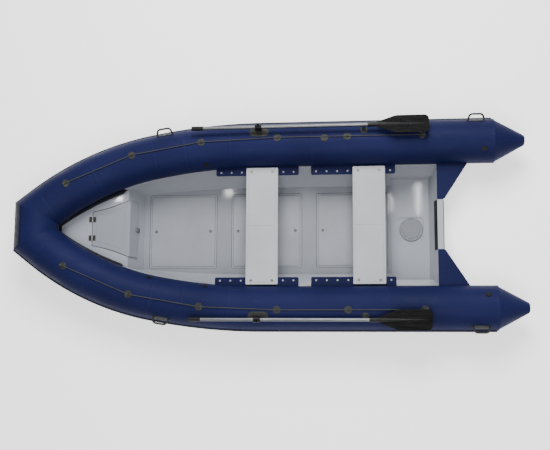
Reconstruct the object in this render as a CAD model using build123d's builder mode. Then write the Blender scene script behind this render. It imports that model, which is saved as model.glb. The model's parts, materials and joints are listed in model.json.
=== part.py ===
"""Rigid inflatable boat: keeled hull, inflated collar, two seat boards, bow locker and two stowed oars.

Millimetres. +X is forward, +Y is port and +Z is up. The origin is on the centreline at the waterline,
below the middle of the boat. Pieces are made on the port side and mirrored where both sides have them.
"""

import os
from math import cos, radians, sin, tan

from build123d import *

os.makedirs("parts", exist_ok=True)

# Inflated collar: tube axis, its two bends into the bow, and the conical ends
TUBE_RADIUS = 207
TUBE_SPREAD = 782  # tube axis from the centreline
TUBE_HEIGHT = 280  # tube axis above the waterline, aft
STERN_TIP_X = -2200
SEAM_X = -1900  # where the straight tube meets its conical end
BEND_X = 260  # where the tube starts to bend inboard
BENDS = ((5300, 11.5), (2450, 27.5))  # radius and turn in degrees
BOW_ROLL = 8  # degrees the bends lean, so that the bow rises
BOW_AXIS_X = 2441  # axis of the short tube across the bow
CONE_TIP_RADIUS = 44  # blunt end of the cone, before it is rounded
CONE_ROUND = 26
FIT = 0.4  # gap between bonded pieces and the tube

# Rubbing strake round the collar, and the wear pad under it at the bow
STRAKE_HEIGHT = 74
STRAKE_DEPTH = 12
STRAKE_FLANK = 70  # degrees of its sloped edges
STRAKE_GROOVE = (22, 4)  # width and depth of the channel along its middle
BOW_PAD_THICKNESS = 7
BOW_PAD_WRAP = 58  # degrees up and down from the middle of the bow

# Hull form
TRANSOM_X = -1438
TRANSOM_THICKNESS = 54
TRANSOM_FOOT = 60  # how far the foot of the inner slope reaches forward
FLOOR_Z = -49
FLOOR_THICKNESS = 40
CHINE_FLAT = 20
KEEL_FLAT = 18  # half width of the flat along the keel
SPRAY_RAIL = 36  # width of the ledge under each side of the bottom
SPRAY_SHARE = 0.52  # place of that ledge between keel and chine
SHEER_INSET = (60, 120)  # topside edge, inboard of and below the tube axis
LIP_INSET = (140, 20)  # coaming edge, inboard of and below the tube axis
KEEL_Z = -270
CHINE_Y = 600
CHINE_Z = -97
FAIRING = 500  # straight run that the bow is faired into
# x, keel z, chine y, chine z of the sections forward of the straight run
BOW_SECTIONS = (
    (860, -264, 574, -96),
    (1360, -228, 492, -70),
    (1800, -150, 356, -28),
    (2130, -35, 186, 36),
)
STEM = (2360, 92, 14, 108)
STEM_SHEER = (40, 240)
STEM_LIP = (45, 340)

# Cockpit between the floor and the coaming
# height above the floor, half width along the straight run, half width at the locker
COCKPIT_LEVELS = ((0, 430, 370), (110, 500, 385))
COCKPIT_MOUTH = (576, 370)  # the same half widths at the top
MOUTH_RISE = 20  # top of the cockpit above the tube axis
WELL_X = -957  # forward end of the stern well
PLATE_RECESS = (240, 6)  # width and depth round the inspection plate
PLATE_X = -1152
PLATE_RADIUS = 110
PLATE_THICKNESS = 9
PLATE_CAP = (86, 5)  # radius and height of the screwed cap
PLATE_GRIP = (13, 4, 50)  # radius, depth and place of the finger dips

# Bow locker
LOCKER_FOOT_X = 1490  # aft face of the locker at the floor
LOCKER_RAKE = 20  # degrees the aft face leans forward
DECK_Z = 215
DECK_THICKNESS = 20
DECK_MARGIN = 28  # open groove between the bow deck and the tube
LID_FRONT_X = 1940
LID_FRONT = 166  # half width of the lid at its hinges
LID_AFT = 272  # half width of the lid at the aft face
LID_BULGE = 13  # bow of the lid's long edges
LID_FIELD = 36  # border outside the moulded line on the lid
LID_GAP = 3
LID_SEAT = 0.5  # gap under the lid
LID_LEDGE = 22  # rim of the locker under the lid
LID_APRON = 150  # depth of the flap over the aft face
LID_APRON_THICKNESS = 12
DECK_ROUND = 15  # rounding of the deck and lid along the aft edge
LOCKER_FLOOR_Z = -20
HINGE_SPREAD = 91
HINGE_WIDTH = 52
HINGE_LEAF = (34, 3)
HINGE_RADIUS = 7
HINGE_PIN_RADIUS = 3
HINGE_GAP = 1
LATCH = (44, 46, 14)
LATCH_DRAFT = 12

# Floor panels: x of the aft and forward edges
FLOOR_PANELS = ((-920, -232), (-87, 606), (757, 1428))
PANEL_SIDE = 366
PANEL_THICKNESS = 12
PANEL_GAP = 3
PANEL_CORNER = 18
PANEL_RIM = (14, 2)  # width and depth of the step round each panel
PANEL_PULL = (14, 4, 62)  # radius, depth and distance from the edge of the lift points

# Seat boards on their rails
SEATS = (("forward", 314, -50), ("aft", -600, -150))  # name, middle of its rails, board aft of that
SEAT_WIDTH = 306
SEAT_GAP = 15  # between the end of a board and the tube
SEAT_LENGTH = 2 * (TUBE_SPREAD - TUBE_RADIUS - SEAT_GAP)
SEAT_THICKNESS = 26
SEAT_CORNER = 10
SEAT_EDGE = 6
SEAT_LINE = (3, 1.5)  # width and depth of the moulded lines
SEAT_BORDER = 20  # border outside the moulded line
RAIL_LENGTH = 795
RAIL_THICKNESS = 12
RAIL_REACH = 86  # how far a rail stands in from the tube
RAIL_INNER = TUBE_SPREAD - TUBE_RADIUS - RAIL_REACH
RAIL_HOLE_Y = RAIL_INNER + 31
RAIL_CORNER = 14
RAIL_HOLES = 8
RAIL_PITCH = 100
RAIL_HOLE_RADIUS = 4.5

# Transom fittings
GUSSET_TIP = (-1450, 236)
GUSSET_AFT_X = -1670
GUSSET_THICKNESS = 6
GUSSET_ROUND = 26
PAD_WIDTH = 464
PAD_INNER_HEIGHT = 95
PAD_OUTER_HEIGHT = 210
PAD_THICKNESS = 8
STERN_EYE = (330, 70)
DRAIN = (110, -190)
EYE_PLATE = (60, 44, 5)
EYE_RADIUS = 20
EYE_HOLE_RADIUS = 11
EYE_THICKNESS = 10
BOW_EYE = (2290, 26)  # x and z of the hole

# Fittings bonded to the tube: distance forward of the bend and lean outboard of straight up
PATCHES = (1926, 1245, 568, -160, -815, -1507)
PATCH_LEAN = 7
PATCH_RADIUS = 36
PATCH_HEIGHT = 4
SPARE_PATCH = (-602, 4)  # place and lean of the bare patch on the starboard side
ROPE_RADIUS = 4.5
ROPE_BEND = 120  # rope round the loop of a patch
LOOP_ROOM = 3.5  # slack round the rope in its loop
LOOP_WALL = 3
LOOP_LENGTH = 16
HANDLES = (916, -2011)
HANDLE_LEAN = 60
HANDLE_PAD = (176, 62, 4)
HANDLE_SPAN = 150  # between the feet of the bar
HANDLE_TOP = 122  # length of the bar's straight top, before its corners are bent
HANDLE_RISE = 46  # room for fingers under the bar
HANDLE_BEND = 34
HANDLE_BAR_RADIUS = 9
VALVES = ((548, -58), (-2074, -32))
BOW_VALVE = (1108, -58)
VALVE_RADIUS = 25
VALVE_HEIGHT = 6
VALVE_CAP = (16, 11)  # radius and height of the screwed cap

# Oars, along the tubes with their blades aft
ROWLOCK_X = 274
ROWLOCK_LEAN = 24
ROWLOCK_PAD = (190, 92, 5)
ROWLOCK_BOSS_RADIUS = 27
ROWLOCK_BOSS_HEIGHT = 44
PIN_RADIUS = 8
PIN_LENGTH = 36
PIN_GAP = 0.5
OAR_RISE = 79  # shaft above the tube at the pin
SHAFT_RADIUS = 17
GRIP_END = 636  # from the pin to the inboard end
GRIP_LENGTH = 112
GRIP_RADIUS = 20
BLADE_START = -1090  # from the pin to the neck of the blade
BLADE_END = -1584
BLADE_WIDTH = 200
BLADE_THICKNESS = 7
BLADE_SHOULDER = 190  # length of the widening neck
BLADE_NECK_ROUND = 130
BLADE_END_ROUND = 44
BLADE_SPINE_TAPER = 2.2  # degrees of the spine that carries on from the socket
BLADE_RIBS = (4, 38, 5, 15)  # count, pitch, width and height through the blade
BLADE_RIB_LENGTH = 240
SOCKET_WALL = 5
SOCKET_LENGTH = 70
COLLAR_RADIUS = 27
COLLAR_LENGTH = 62
COLLAR_FLANGE = (32, 8)  # radius and width of its end rings
COLLAR_KNOB = (12, 14)  # radius and height of the knob on the pin
OAR_REST_X = -710
OAR_REST_GAP = 5

UP = Vector(0, 0, 1)
BEND_PLANE = Plane(
    origin=(BEND_X, TUBE_SPREAD, TUBE_HEIGHT),
    x_dir=(1, 0, 0),
    z_dir=(0, -sin(radians(BOW_ROLL)), -cos(radians(BOW_ROLL))),
)


def on_bend(distance):
    """Place and heading of the tube axis in the bend plane, so far forward of where it bends."""
    along, inboard, heading = min(distance, 0), 0, 0
    left = max(distance, 0)
    for radius, turn in BENDS:
        step = min(left / radius, radians(turn))
        along += radius * (sin(heading + step) - sin(heading))
        inboard += radius * (cos(heading) - cos(heading + step))
        heading += step
        left -= step * radius
    return along + left * cos(heading), inboard + left * sin(heading), heading


def tube_axis(distance):
    """Point and direction of the port tube's axis."""
    along, inboard, heading = on_bend(distance)
    point = BEND_PLANE.from_local_coords((along, inboard, 0))
    direction = BEND_PLANE.x_dir * cos(heading) + BEND_PLANE.y_dir * sin(heading)
    return Vector(point), direction


def tube_surface(distance, lean):
    """Plane on the port tube's skin, x along the tube and z outwards, leaning outboard of up."""
    point, direction = tube_axis(distance)
    outboard = UP.cross(direction).normalized()
    over = direction.cross(outboard)
    outwards = over * cos(radians(lean)) + outboard * sin(radians(lean))
    return Plane(origin=point + outwards * TUBE_RADIUS, x_dir=direction, z_dir=outwards)


def distance_at(x):
    """Distance along the tube axis at which it reaches x."""
    low, high = x - BEND_X, 2 * (x - BEND_X) + 1
    if x <= BEND_X:
        return low
    for _ in range(60):
        middle = (low + high) / 2
        if tube_axis(middle)[0].X < x:
            low = middle
        else:
            high = middle
    return low


BEND_LENGTH = sum(radius * radians(turn) for radius, turn in BENDS)
RUN_START, RUN_DIRECTION = tube_axis(BEND_LENGTH)
BOW_RUN = (BOW_AXIS_X - RUN_START.X) / RUN_DIRECTION.X
MITRE = RUN_START + RUN_DIRECTION * BOW_RUN
MITRE_NORMAL = RUN_DIRECTION + Vector(0, -1, 0)
MITRE_PORT = Plane(origin=MITRE, z_dir=MITRE_NORMAL)
MITRE_STARBOARD = Plane(
    origin=(MITRE.X, -MITRE.Y, MITRE.Z),
    z_dir=(MITRE_NORMAL.X, -MITRE_NORMAL.Y, MITRE_NORMAL.Z),
)
SECTION_PLANE = Plane(origin=BEND_PLANE.origin, x_dir=(0, 1, 0), z_dir=(1, 0, 0))
BOW_PLANE = Plane(origin=(BOW_AXIS_X, 0, MITRE.Z), x_dir=(1, 0, 0), z_dir=(0, -1, 0))
SPLIT_Z = FLOOR_Z - FLOOR_THICKNESS


def save(block, name):
    """Label a finished piece and write it."""
    block.part.label = name
    export_step(block.part, f"parts/{name}.step")


def save_pair(block, name):
    """Write a port piece and its mirror image."""
    save(block, f"{name}_port")
    with BuildPart() as other:
        mirror(block.part, about=Plane.XZ)
    save(other, f"{name}_starboard")


def bend_axes():
    """Axes of the two bends, each in the place where its bend starts."""
    axes = []
    start = 0
    for radius, turn in BENDS:
        point, direction = tube_axis(start)
        centre = point + BEND_PLANE.z_dir.cross(direction) * radius
        axes.append((Axis(centre, BEND_PLANE.z_dir), turn))
        start += radius * radians(turn)
    return axes


def forward_run(profile, ahead):
    """Carry a profile round the bends and on past the mitre."""
    with BuildPart() as carried:
        face = profile
        for axis, turn in bend_axes():
            revolve(face, axis=axis, revolution_arc=turn)
            face = face.rotate(axis, turn)
        extrude(face, amount=BOW_RUN + ahead)
    return carried.part


def aft_run(profile, end_x):
    """Carry a profile straight aft from the bend."""
    with BuildPart() as carried:
        extrude(profile, amount=BEND_X - end_x, dir=(-1, 0, 0))
    return carried.part


def tube_section(radius):
    """Round section of the tube where it starts to bend."""
    with BuildSketch(SECTION_PLANE) as section:
        Circle(radius)
    return section.sketch.face()


def strake_section(plane):
    """Section of the rubbing strake on the outboard side of the tube."""
    with BuildSketch(plane) as section:
        with Locations((TUBE_RADIUS, 0)):
            Trapezoid(STRAKE_HEIGHT, 2 * STRAKE_DEPTH, STRAKE_FLANK, rotation=-90)
        with Locations((TUBE_RADIUS + STRAKE_DEPTH, 0)):
            Rectangle(2 * STRAKE_GROOVE[1], STRAKE_GROOVE[0], mode=Mode.SUBTRACT)
        Circle(TUBE_RADIUS + FIT, mode=Mode.SUBTRACT)
    return section.sketch.face()


def bow_pad_section():
    """Section of the wear pad round the front of the bow tube."""
    reach = 2 * TUBE_RADIUS
    rise = reach * tan(radians(BOW_PAD_WRAP))
    with BuildSketch(BOW_PLANE) as section:
        Circle(TUBE_RADIUS + BOW_PAD_THICKNESS)
        with BuildLine():
            Polyline((0, 0), (reach, rise), (reach, -rise), close=True)
        make_face(mode=Mode.INTERSECT)
        Circle(TUBE_RADIUS + FIT, mode=Mode.SUBTRACT)
    return section.sketch.face()


# Collar of inflated tubes
tube_face = tube_section(TUBE_RADIUS)

with BuildPart() as tube_aft:
    add(aft_run(tube_face, SEAM_X))
save_pair(tube_aft, "tube_aft")

with BuildPart() as tube_forward:
    add(forward_run(tube_face, 2 * TUBE_RADIUS))
    split(bisect_by=MITRE_PORT, keep=Keep.BOTTOM)
save_pair(tube_forward, "tube_forward")

with BuildPart() as tube_bow:
    with BuildSketch(BOW_PLANE):
        Circle(TUBE_RADIUS)
    extrude(amount=2 * TUBE_RADIUS + MITRE.Y, both=True)
    split(bisect_by=MITRE_PORT, keep=Keep.TOP)
    split(bisect_by=MITRE_STARBOARD, keep=Keep.TOP)
save(tube_bow, "tube_bow")

CONE_LENGTH = SEAM_X - STERN_TIP_X
with BuildPart() as cone:
    with BuildSketch(Plane(origin=(SEAM_X, TUBE_SPREAD, TUBE_HEIGHT), x_dir=(1, 0, 0), z_dir=(0, -1, 0))) as profile:
        with BuildLine():
            nose = (-CONE_LENGTH, CONE_TIP_RADIUS)
            Polyline((0, 0), (0, TUBE_RADIUS), nose, (-CONE_LENGTH, 0), close=True)
        make_face()
        fillet(profile.vertices().group_by(Axis.X)[0].sort_by(Axis.Y)[-1], CONE_ROUND)
    revolve(axis=Axis((SEAM_X, TUBE_SPREAD, TUBE_HEIGHT), (1, 0, 0)))
save_pair(cone, "cone")

# Rubbing strake
with BuildPart() as strake:
    side = strake_section(SECTION_PLANE)
    add(aft_run(side, SEAM_X))
    add(forward_run(side, 2 * TUBE_RADIUS))
    split(bisect_by=MITRE_PORT, keep=Keep.BOTTOM)
save_pair(strake, "rub_strake")

with BuildPart() as strake_bow:
    front = strake_section(BOW_PLANE)
    extrude(front, amount=2 * TUBE_RADIUS + MITRE.Y, both=True)
    extrude(bow_pad_section(), amount=2 * TUBE_RADIUS + MITRE.Y, both=True)
    split(bisect_by=MITRE_PORT, keep=Keep.TOP)
    split(bisect_by=MITRE_STARBOARD, keep=Keep.TOP)
save(strake_bow, "rub_strake_bow")

# Room for the collar in the pieces that are bonded to it
with BuildPart() as collar_room:
    room_face = tube_section(TUBE_RADIUS + FIT)
    add(aft_run(room_face, SEAM_X))
    add(forward_run(room_face, TUBE_RADIUS))
    mirror(about=Plane.XZ)
    with BuildSketch(BOW_PLANE):
        Circle(TUBE_RADIUS + FIT)
    extrude(amount=MITRE.Y, both=True)


def hull_section(x, keel_z, chine_y, chine_z, sheer=None, lip=None):
    """Half section of the hull from the keel to the coaming, which the tube then trims."""
    axis = tube_axis(distance_at(x))[0]
    sheer = sheer or (axis.Y - SHEER_INSET[0], axis.Z - SHEER_INSET[1])
    lip = lip or (axis.Y - LIP_INSET[0], axis.Z - LIP_INSET[1])
    share = chine_y / CHINE_Y
    keel_y = KEEL_FLAT * share
    rise = (chine_z - keel_z) / (chine_y - keel_y)
    rail_y = SPRAY_SHARE * chine_y
    ledge_y = rail_y + SPRAY_RAIL * share
    rail_z = keel_z + rise * (rail_y - keel_y)
    return (
        (keel_y, keel_z),
        (rail_y, rail_z),
        (ledge_y, rail_z),
        (ledge_y, keel_z + rise * (ledge_y - keel_y)),
        (chine_y, chine_z),
        (chine_y + CHINE_FLAT, chine_z),
        sheer,
        lip,
    )


def section_face(x, half):
    """Face across the boat from a half section."""
    with BuildSketch(Plane.YZ.offset(x)) as section:
        with BuildLine():
            Polyline(*half, *[(-y, z) for y, z in reversed(half)], close=True)
        make_face()
    return section.sketch.face()


# Hull form from the transom to the stem, before it is parted
HULL_AFT_X = TRANSOM_X + TRANSOM_THICKNESS
straight_half = hull_section(BEND_X, KEEL_Z, CHINE_Y, CHINE_Z)
with BuildPart() as hull_form:
    lead = section_face(BEND_X - FAIRING, straight_half)
    extrude(lead, amount=BEND_X - FAIRING - HULL_AFT_X, dir=(-1, 0, 0))
    faces = [lead, section_face(BEND_X, straight_half)]
    faces += [section_face(row[0], hull_section(*row)) for row in BOW_SECTIONS]
    faces.append(section_face(STEM[0], hull_section(*STEM, STEM_SHEER, STEM_LIP)))
    loft(faces)
    add(collar_room.part, mode=Mode.SUBTRACT)

with BuildPart() as hull:
    add(hull_form.part)
    split(bisect_by=Plane.XY.offset(SPLIT_Z), keep=Keep.BOTTOM)
    with BuildSketch(Plane.XY.offset(SPLIT_Z)):
        with Locations((PLATE_X, 0)):
            RectangleRounded(PLATE_RECESS[0], PLATE_RECESS[0], PANEL_CORNER)
    extrude(amount=-PLATE_RECESS[1], mode=Mode.SUBTRACT)
save(hull, "hull")


def cockpit_outline(height, side, front_side):
    """Plan of the cockpit at a height above the floor."""
    front_x = LOCKER_FOOT_X + height * tan(radians(LOCKER_RAKE))
    corner = (front_x, front_side)
    with BuildSketch(Plane.XY.offset(FLOOR_Z + height)) as plan:
        with BuildLine():
            Line((HULL_AFT_X, 0), (HULL_AFT_X, side))
            Line((HULL_AFT_X, side), (BEND_X, side))
            TangentArc((BEND_X, side), corner, tangent=(1, 0))
            Line(corner, (front_x, 0))
            mirror(about=Plane.XZ)
        make_face()
    return plan.sketch.face()


# Cockpit space from the floor up past the coaming, the room for the floor, and the stern well
MOUTH_HEIGHT = TUBE_HEIGHT + MOUTH_RISE - FLOOR_Z
with BuildPart() as cockpit:
    plans = [cockpit_outline(*level) for level in COCKPIT_LEVELS + ((MOUTH_HEIGHT, *COCKPIT_MOUTH),)]
    loft(plans)
with BuildPart() as floor_room:
    extrude(plans[0], amount=-FLOOR_THICKNESS)
with BuildPart() as well_room:
    well_height, well_side, _ = COCKPIT_LEVELS[1]
    with BuildSketch(Plane.XY.offset(SPLIT_Z)):
        with Locations((WELL_X, 0)):
            Rectangle(WELL_X - HULL_AFT_X, 2 * well_side, align=(Align.MAX, Align.CENTER))
    extrude(amount=FLOOR_THICKNESS + well_height)
with BuildPart() as inner_room:
    add(cockpit.part)
    add(floor_room.part)
    add(well_room.part)

# Floor with its panels
with BuildPart() as floor:
    add(floor_room.part)
    split(bisect_by=Plane.YZ.offset(WELL_X), keep=Keep.TOP)
    for aft_x, front_x in FLOOR_PANELS:
        with BuildSketch(Plane.XY.offset(FLOOR_Z)):
            with Locations(((aft_x + front_x) / 2, 0)):
                RectangleRounded(
                    front_x - aft_x + 2 * PANEL_GAP, 2 * (PANEL_SIDE + PANEL_GAP), PANEL_CORNER + PANEL_GAP
                )
        extrude(amount=-PANEL_THICKNESS, mode=Mode.SUBTRACT)
save(floor, "floor")

for number, (aft_x, front_x) in enumerate(FLOOR_PANELS, 1):
    with BuildPart() as panel:
        with BuildSketch(Plane.XY.offset(FLOOR_Z - PANEL_THICKNESS)):
            with Locations(((aft_x + front_x) / 2, 0)):
                RectangleRounded(front_x - aft_x, 2 * PANEL_SIDE, PANEL_CORNER)
        extrude(amount=PANEL_THICKNESS - PANEL_RIM[1])
        with BuildSketch(Plane.XY.offset(FLOOR_Z - PANEL_RIM[1])):
            with Locations(((aft_x + front_x) / 2, 0)):
                RectangleRounded(
                    front_x - aft_x - 2 * PANEL_RIM[0], 2 * (PANEL_SIDE - PANEL_RIM[0]), PANEL_CORNER - PANEL_RIM[1]
                )
        extrude(amount=PANEL_RIM[1])
        with BuildSketch(Plane.XY.offset(FLOOR_Z)):
            with Locations((aft_x + PANEL_PULL[2], 0), (front_x - PANEL_PULL[2], 0)):
                Circle(PANEL_PULL[0])
        extrude(amount=-PANEL_PULL[1], mode=Mode.SUBTRACT)
    save(panel, f"floor_panel_{number}")

# Side mouldings and bow, above the floor's underside
RAKE = radians(LOCKER_RAKE)
LOCKER_PLANE = Plane(origin=(LOCKER_FOOT_X, 0, FLOOR_Z), x_dir=(0, 1, 0), z_dir=(cos(RAKE), 0, -sin(RAKE)))
CENTRE_PLANE = Plane(origin=(0, 0, 0), x_dir=(1, 0, 0), z_dir=(0, 1, 0))
with BuildPart() as upper:
    add(hull_form.part)
    split(bisect_by=Plane.XY.offset(SPLIT_Z), keep=Keep.TOP)
    add(inner_room.part, mode=Mode.SUBTRACT)

with BuildPart() as side_moulding:
    add(upper.part)
    split(bisect_by=LOCKER_PLANE, keep=Keep.BOTTOM)
    split(bisect_by=CENTRE_PLANE, keep=Keep.TOP)
save_pair(side_moulding, "side_moulding")


APRON_TOP = (DECK_Z - FLOOR_Z) / cos(RAKE)
DECK_AFT_X = LOCKER_PLANE.from_local_coords((0, APRON_TOP, 0)).X


def lid_outline(plane, margin):
    """Plan of the locker lid grown by a margin, carried on straight past the aft face."""
    front = (LID_FRONT_X + margin, LID_FRONT + margin)
    back = (DECK_AFT_X, LID_AFT + margin)
    past = (LOCKER_FOOT_X - LID_APRON, back[1])
    with BuildSketch(plane) as plan:
        with BuildLine():
            SagittaArc(back, front, -LID_BULGE)
            Line(front, (front[0], 0))
            Polyline(back, past, (past[0], 0))
            mirror(about=Plane.XZ)
        make_face()
    return plan.sketch.face()


DECK_UNDER = DECK_Z - DECK_THICKNESS
with BuildPart() as locker_room:
    extrude(lid_outline(Plane.XY.offset(LOCKER_FLOOR_Z), -LID_LEDGE), amount=DECK_Z - LOCKER_FLOOR_Z)
    split(bisect_by=LOCKER_PLANE.offset(LID_LEDGE), keep=Keep.TOP)

with BuildPart() as bow_locker:
    add(upper.part)
    split(bisect_by=LOCKER_PLANE, keep=Keep.TOP)
    split(bisect_by=Plane.XY.offset(DECK_UNDER), keep=Keep.BOTTOM)
    add(locker_room.part, mode=Mode.SUBTRACT)
save(bow_locker, "bow_locker")

with BuildPart() as groove_room:
    groove_face = tube_section(TUBE_RADIUS + DECK_MARGIN)
    add(forward_run(groove_face, TUBE_RADIUS))
    mirror(about=Plane.XZ)
    with BuildSketch(BOW_PLANE):
        Circle(TUBE_RADIUS + DECK_MARGIN)
    extrude(amount=MITRE.Y, both=True)

with BuildPart() as bow_deck:
    add(hull_form.part)
    split(bisect_by=Plane.XY.offset(DECK_UNDER), keep=Keep.TOP)
    split(bisect_by=Plane.XY.offset(DECK_Z), keep=Keep.BOTTOM)
    split(bisect_by=LOCKER_PLANE, keep=Keep.TOP)
    add(groove_room.part, mode=Mode.SUBTRACT)
    extrude(lid_outline(Plane.XY.offset(DECK_UNDER), LID_GAP), amount=DECK_THICKNESS, mode=Mode.SUBTRACT)
    fillet(bow_deck.edges().filter_by(Axis.Y).group_by(Axis.Z)[-1].group_by(Axis.X)[0], DECK_ROUND)
save(bow_deck, "bow_deck")

# Locker lid with its apron, hinges and latch
APRON_PLANE = LOCKER_PLANE.offset(-LID_GAP)


def lid_field(border):
    """Field of the lid inside a border, as deep as a moulded line."""
    with BuildPart() as field:
        extrude(lid_outline(Plane.XY.offset(DECK_Z), -border), amount=-SEAT_LINE[1])
        split(bisect_by=Plane.YZ.offset(DECK_AFT_X + border), keep=Keep.TOP)
    return field.part


lid_line = lid_field(LID_FIELD) - lid_field(LID_FIELD + SEAT_LINE[0])
with BuildPart() as locker_lid:
    extrude(lid_outline(Plane.XY.offset(DECK_UNDER + LID_SEAT), 0), amount=DECK_THICKNESS - LID_SEAT)
    split(bisect_by=APRON_PLANE.offset(-LID_APRON_THICKNESS), keep=Keep.TOP)
    with BuildSketch(APRON_PLANE):
        with Locations((0, APRON_TOP - LID_APRON / 2)):
            Rectangle(2 * LID_AFT, LID_APRON)
    extrude(amount=-LID_APRON_THICKNESS)
    split(bisect_by=Plane.XY.offset(DECK_Z), keep=Keep.BOTTOM)
    fillet(locker_lid.edges().filter_by(Axis.Y).group_by(Axis.Z)[-1].group_by(Axis.X)[0], DECK_ROUND)
    add(lid_line, mode=Mode.SUBTRACT)
save(locker_lid, "locker_lid")

HINGE_X = LID_FRONT_X + LID_GAP / 2
HINGE_Z = DECK_Z + HINGE_RADIUS
KNUCKLE = (HINGE_WIDTH - 2 * HINGE_GAP) / 3


def hinge_leaf(y, towards, knuckles, bore):
    """One leaf of a butt hinge with its knuckles, reaching forward or aft of the pin."""
    length, thickness = HINGE_LEAF
    clear = HINGE_RADIUS + 2 * HINGE_GAP
    with BuildPart() as leaf:
        with Locations((HINGE_X + towards * (clear + length) / 2, y, DECK_Z + thickness / 2)):
            Box(length - clear, HINGE_WIDTH, thickness)
        for place in knuckles:
            middle = y + place * (KNUCKLE + HINGE_GAP)
            with Locations((HINGE_X + towards * clear / 2, middle, DECK_Z + thickness / 2)):
                Box(clear, KNUCKLE, thickness)
            with Locations(Location((HINGE_X, middle, HINGE_Z), (90, 0, 0))):
                Cylinder(HINGE_RADIUS, KNUCKLE)
        if bore:
            with Locations(Location((HINGE_X, y, HINGE_Z), (90, 0, 0))):
                Cylinder(HINGE_PIN_RADIUS + PIN_GAP, HINGE_WIDTH, mode=Mode.SUBTRACT)
        else:
            with Locations(Location((HINGE_X, y, HINGE_Z), (90, 0, 0))):
                Cylinder(HINGE_PIN_RADIUS, HINGE_WIDTH)
    return leaf.part


HINGE_PLACES = (HINGE_SPREAD, -HINGE_SPREAD)
fixed_leaves = [hinge_leaf(y, 1, (-1, 1), False) for y in HINGE_PLACES]
lid_leaves = [hinge_leaf(y, -1, (0,), True) for y in HINGE_PLACES]
with BuildPart() as deck_hinges:
    add(fixed_leaves)
save(deck_hinges, "deck_hinges")
with BuildPart() as lid_hinges:
    add(lid_leaves)
save(lid_hinges, "lid_hinges")

with BuildPart() as lid_latch:
    with BuildSketch(APRON_PLANE.offset(-LID_APRON_THICKNESS)):
        with Locations((0, APRON_TOP - LID_APRON + LATCH[1] / 2)):
            RectangleRounded(LATCH[0], LATCH[1], LATCH[2] / 2)
    extrude(amount=-LATCH[2], taper=LATCH_DRAFT)
save(lid_latch, "lid_latch")

with BuildPart() as latch_keeper:
    with BuildSketch(LOCKER_PLANE):
        with Locations((0, APRON_TOP - LID_APRON - LATCH[1] / 2)):
            RectangleRounded(LATCH[0], LATCH[1] / 2, LATCH[2] / 2)
    extrude(amount=-LATCH[2], taper=LATCH_DRAFT)
save(latch_keeper, "latch_keeper")

# Transom
transom_half = straight_half[:-1] + ((straight_half[-1][0], TUBE_HEIGHT),)
COAMING_Z = TUBE_HEIGHT - LIP_INSET[1]
with BuildPart() as transom_slope:
    with BuildSketch(Plane.XZ):
        with BuildLine():
            Polyline(
                (HULL_AFT_X, SPLIT_Z), (HULL_AFT_X + TRANSOM_FOOT, SPLIT_Z), (HULL_AFT_X, COAMING_Z), close=True
            )
        make_face()
    extrude(amount=TUBE_SPREAD, both=True)
    add(inner_room.part, mode=Mode.INTERSECT)
with BuildPart() as transom:
    extrude(section_face(HULL_AFT_X, transom_half), amount=TRANSOM_THICKNESS, dir=(-1, 0, 0))
    add(collar_room.part, mode=Mode.SUBTRACT)
    add(transom_slope.part)
save(transom, "transom")

with BuildPart() as gusset:
    with BuildSketch(Plane.XY.offset(TUBE_HEIGHT)) as web:
        with BuildLine():
            Polyline(
                (HULL_AFT_X, TUBE_SPREAD),
                (HULL_AFT_X, GUSSET_TIP[1]),
                GUSSET_TIP,
                (GUSSET_AFT_X, TUBE_SPREAD - TUBE_RADIUS),
                (GUSSET_AFT_X, TUBE_SPREAD),
                close=True,
            )
        make_face()
        fillet(web.vertices().group_by(Axis.Y)[0].sort_by(Axis.X)[0], GUSSET_ROUND)
    extrude(amount=GUSSET_THICKNESS)
    add(collar_room.part, mode=Mode.SUBTRACT)
save_pair(gusset, "transom_gusset")

SLOPE_RUN = Vector(-TRANSOM_FOOT, 0, COAMING_Z - SPLIT_Z)
SLOPE_PLANE = Plane(origin=(HULL_AFT_X, 0, COAMING_Z), x_dir=(0, 1, 0), z_dir=Vector(0, 1, 0).cross(SLOPE_RUN))
with BuildPart() as motor_pad_inner:
    with BuildSketch(SLOPE_PLANE):
        with Locations((0, -PAD_INNER_HEIGHT / 2)):
            RectangleRounded(PAD_WIDTH, PAD_INNER_HEIGHT, PAD_THICKNESS)
    extrude(amount=PAD_THICKNESS)
save(motor_pad_inner, "motor_pad_inner")

AFT_FACE = Plane(origin=(TRANSOM_X, 0, 0), x_dir=(0, -1, 0), z_dir=(-1, 0, 0))
with BuildPart() as motor_pad_outer:
    with BuildSketch(AFT_FACE):
        with Locations((0, COAMING_Z - PAD_OUTER_HEIGHT / 2)):
            RectangleRounded(PAD_WIDTH, PAD_OUTER_HEIGHT, PAD_THICKNESS)
    extrude(amount=PAD_THICKNESS)
save(motor_pad_outer, "motor_pad_outer")


def eye_on_transom(y, z):
    """Towing eye on a base plate on the aft face, its hole upright."""
    length, width, thickness = EYE_PLATE
    with BuildPart() as eye:
        with BuildSketch(AFT_FACE):
            with Locations((-y, z)):
                RectangleRounded(length, width, thickness)
        extrude(amount=thickness)
        with BuildSketch(Plane(origin=(TRANSOM_X, y, z), x_dir=(-1, 0, 0), z_dir=(0, 0, 1))):
            with Locations((thickness + EYE_RADIUS / 2, 0)):
                Rectangle(EYE_RADIUS, 2 * EYE_RADIUS)
            with Locations((thickness + EYE_RADIUS, 0)):
                Circle(EYE_RADIUS)
                Circle(EYE_HOLE_RADIUS, mode=Mode.SUBTRACT)
        extrude(amount=EYE_THICKNESS / 2, both=True)
    return eye.part


with BuildPart() as stern_eyes:
    add(eye_on_transom(*STERN_EYE))
    mirror(about=Plane.XZ)
save(stern_eyes, "stern_eyes")

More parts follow.
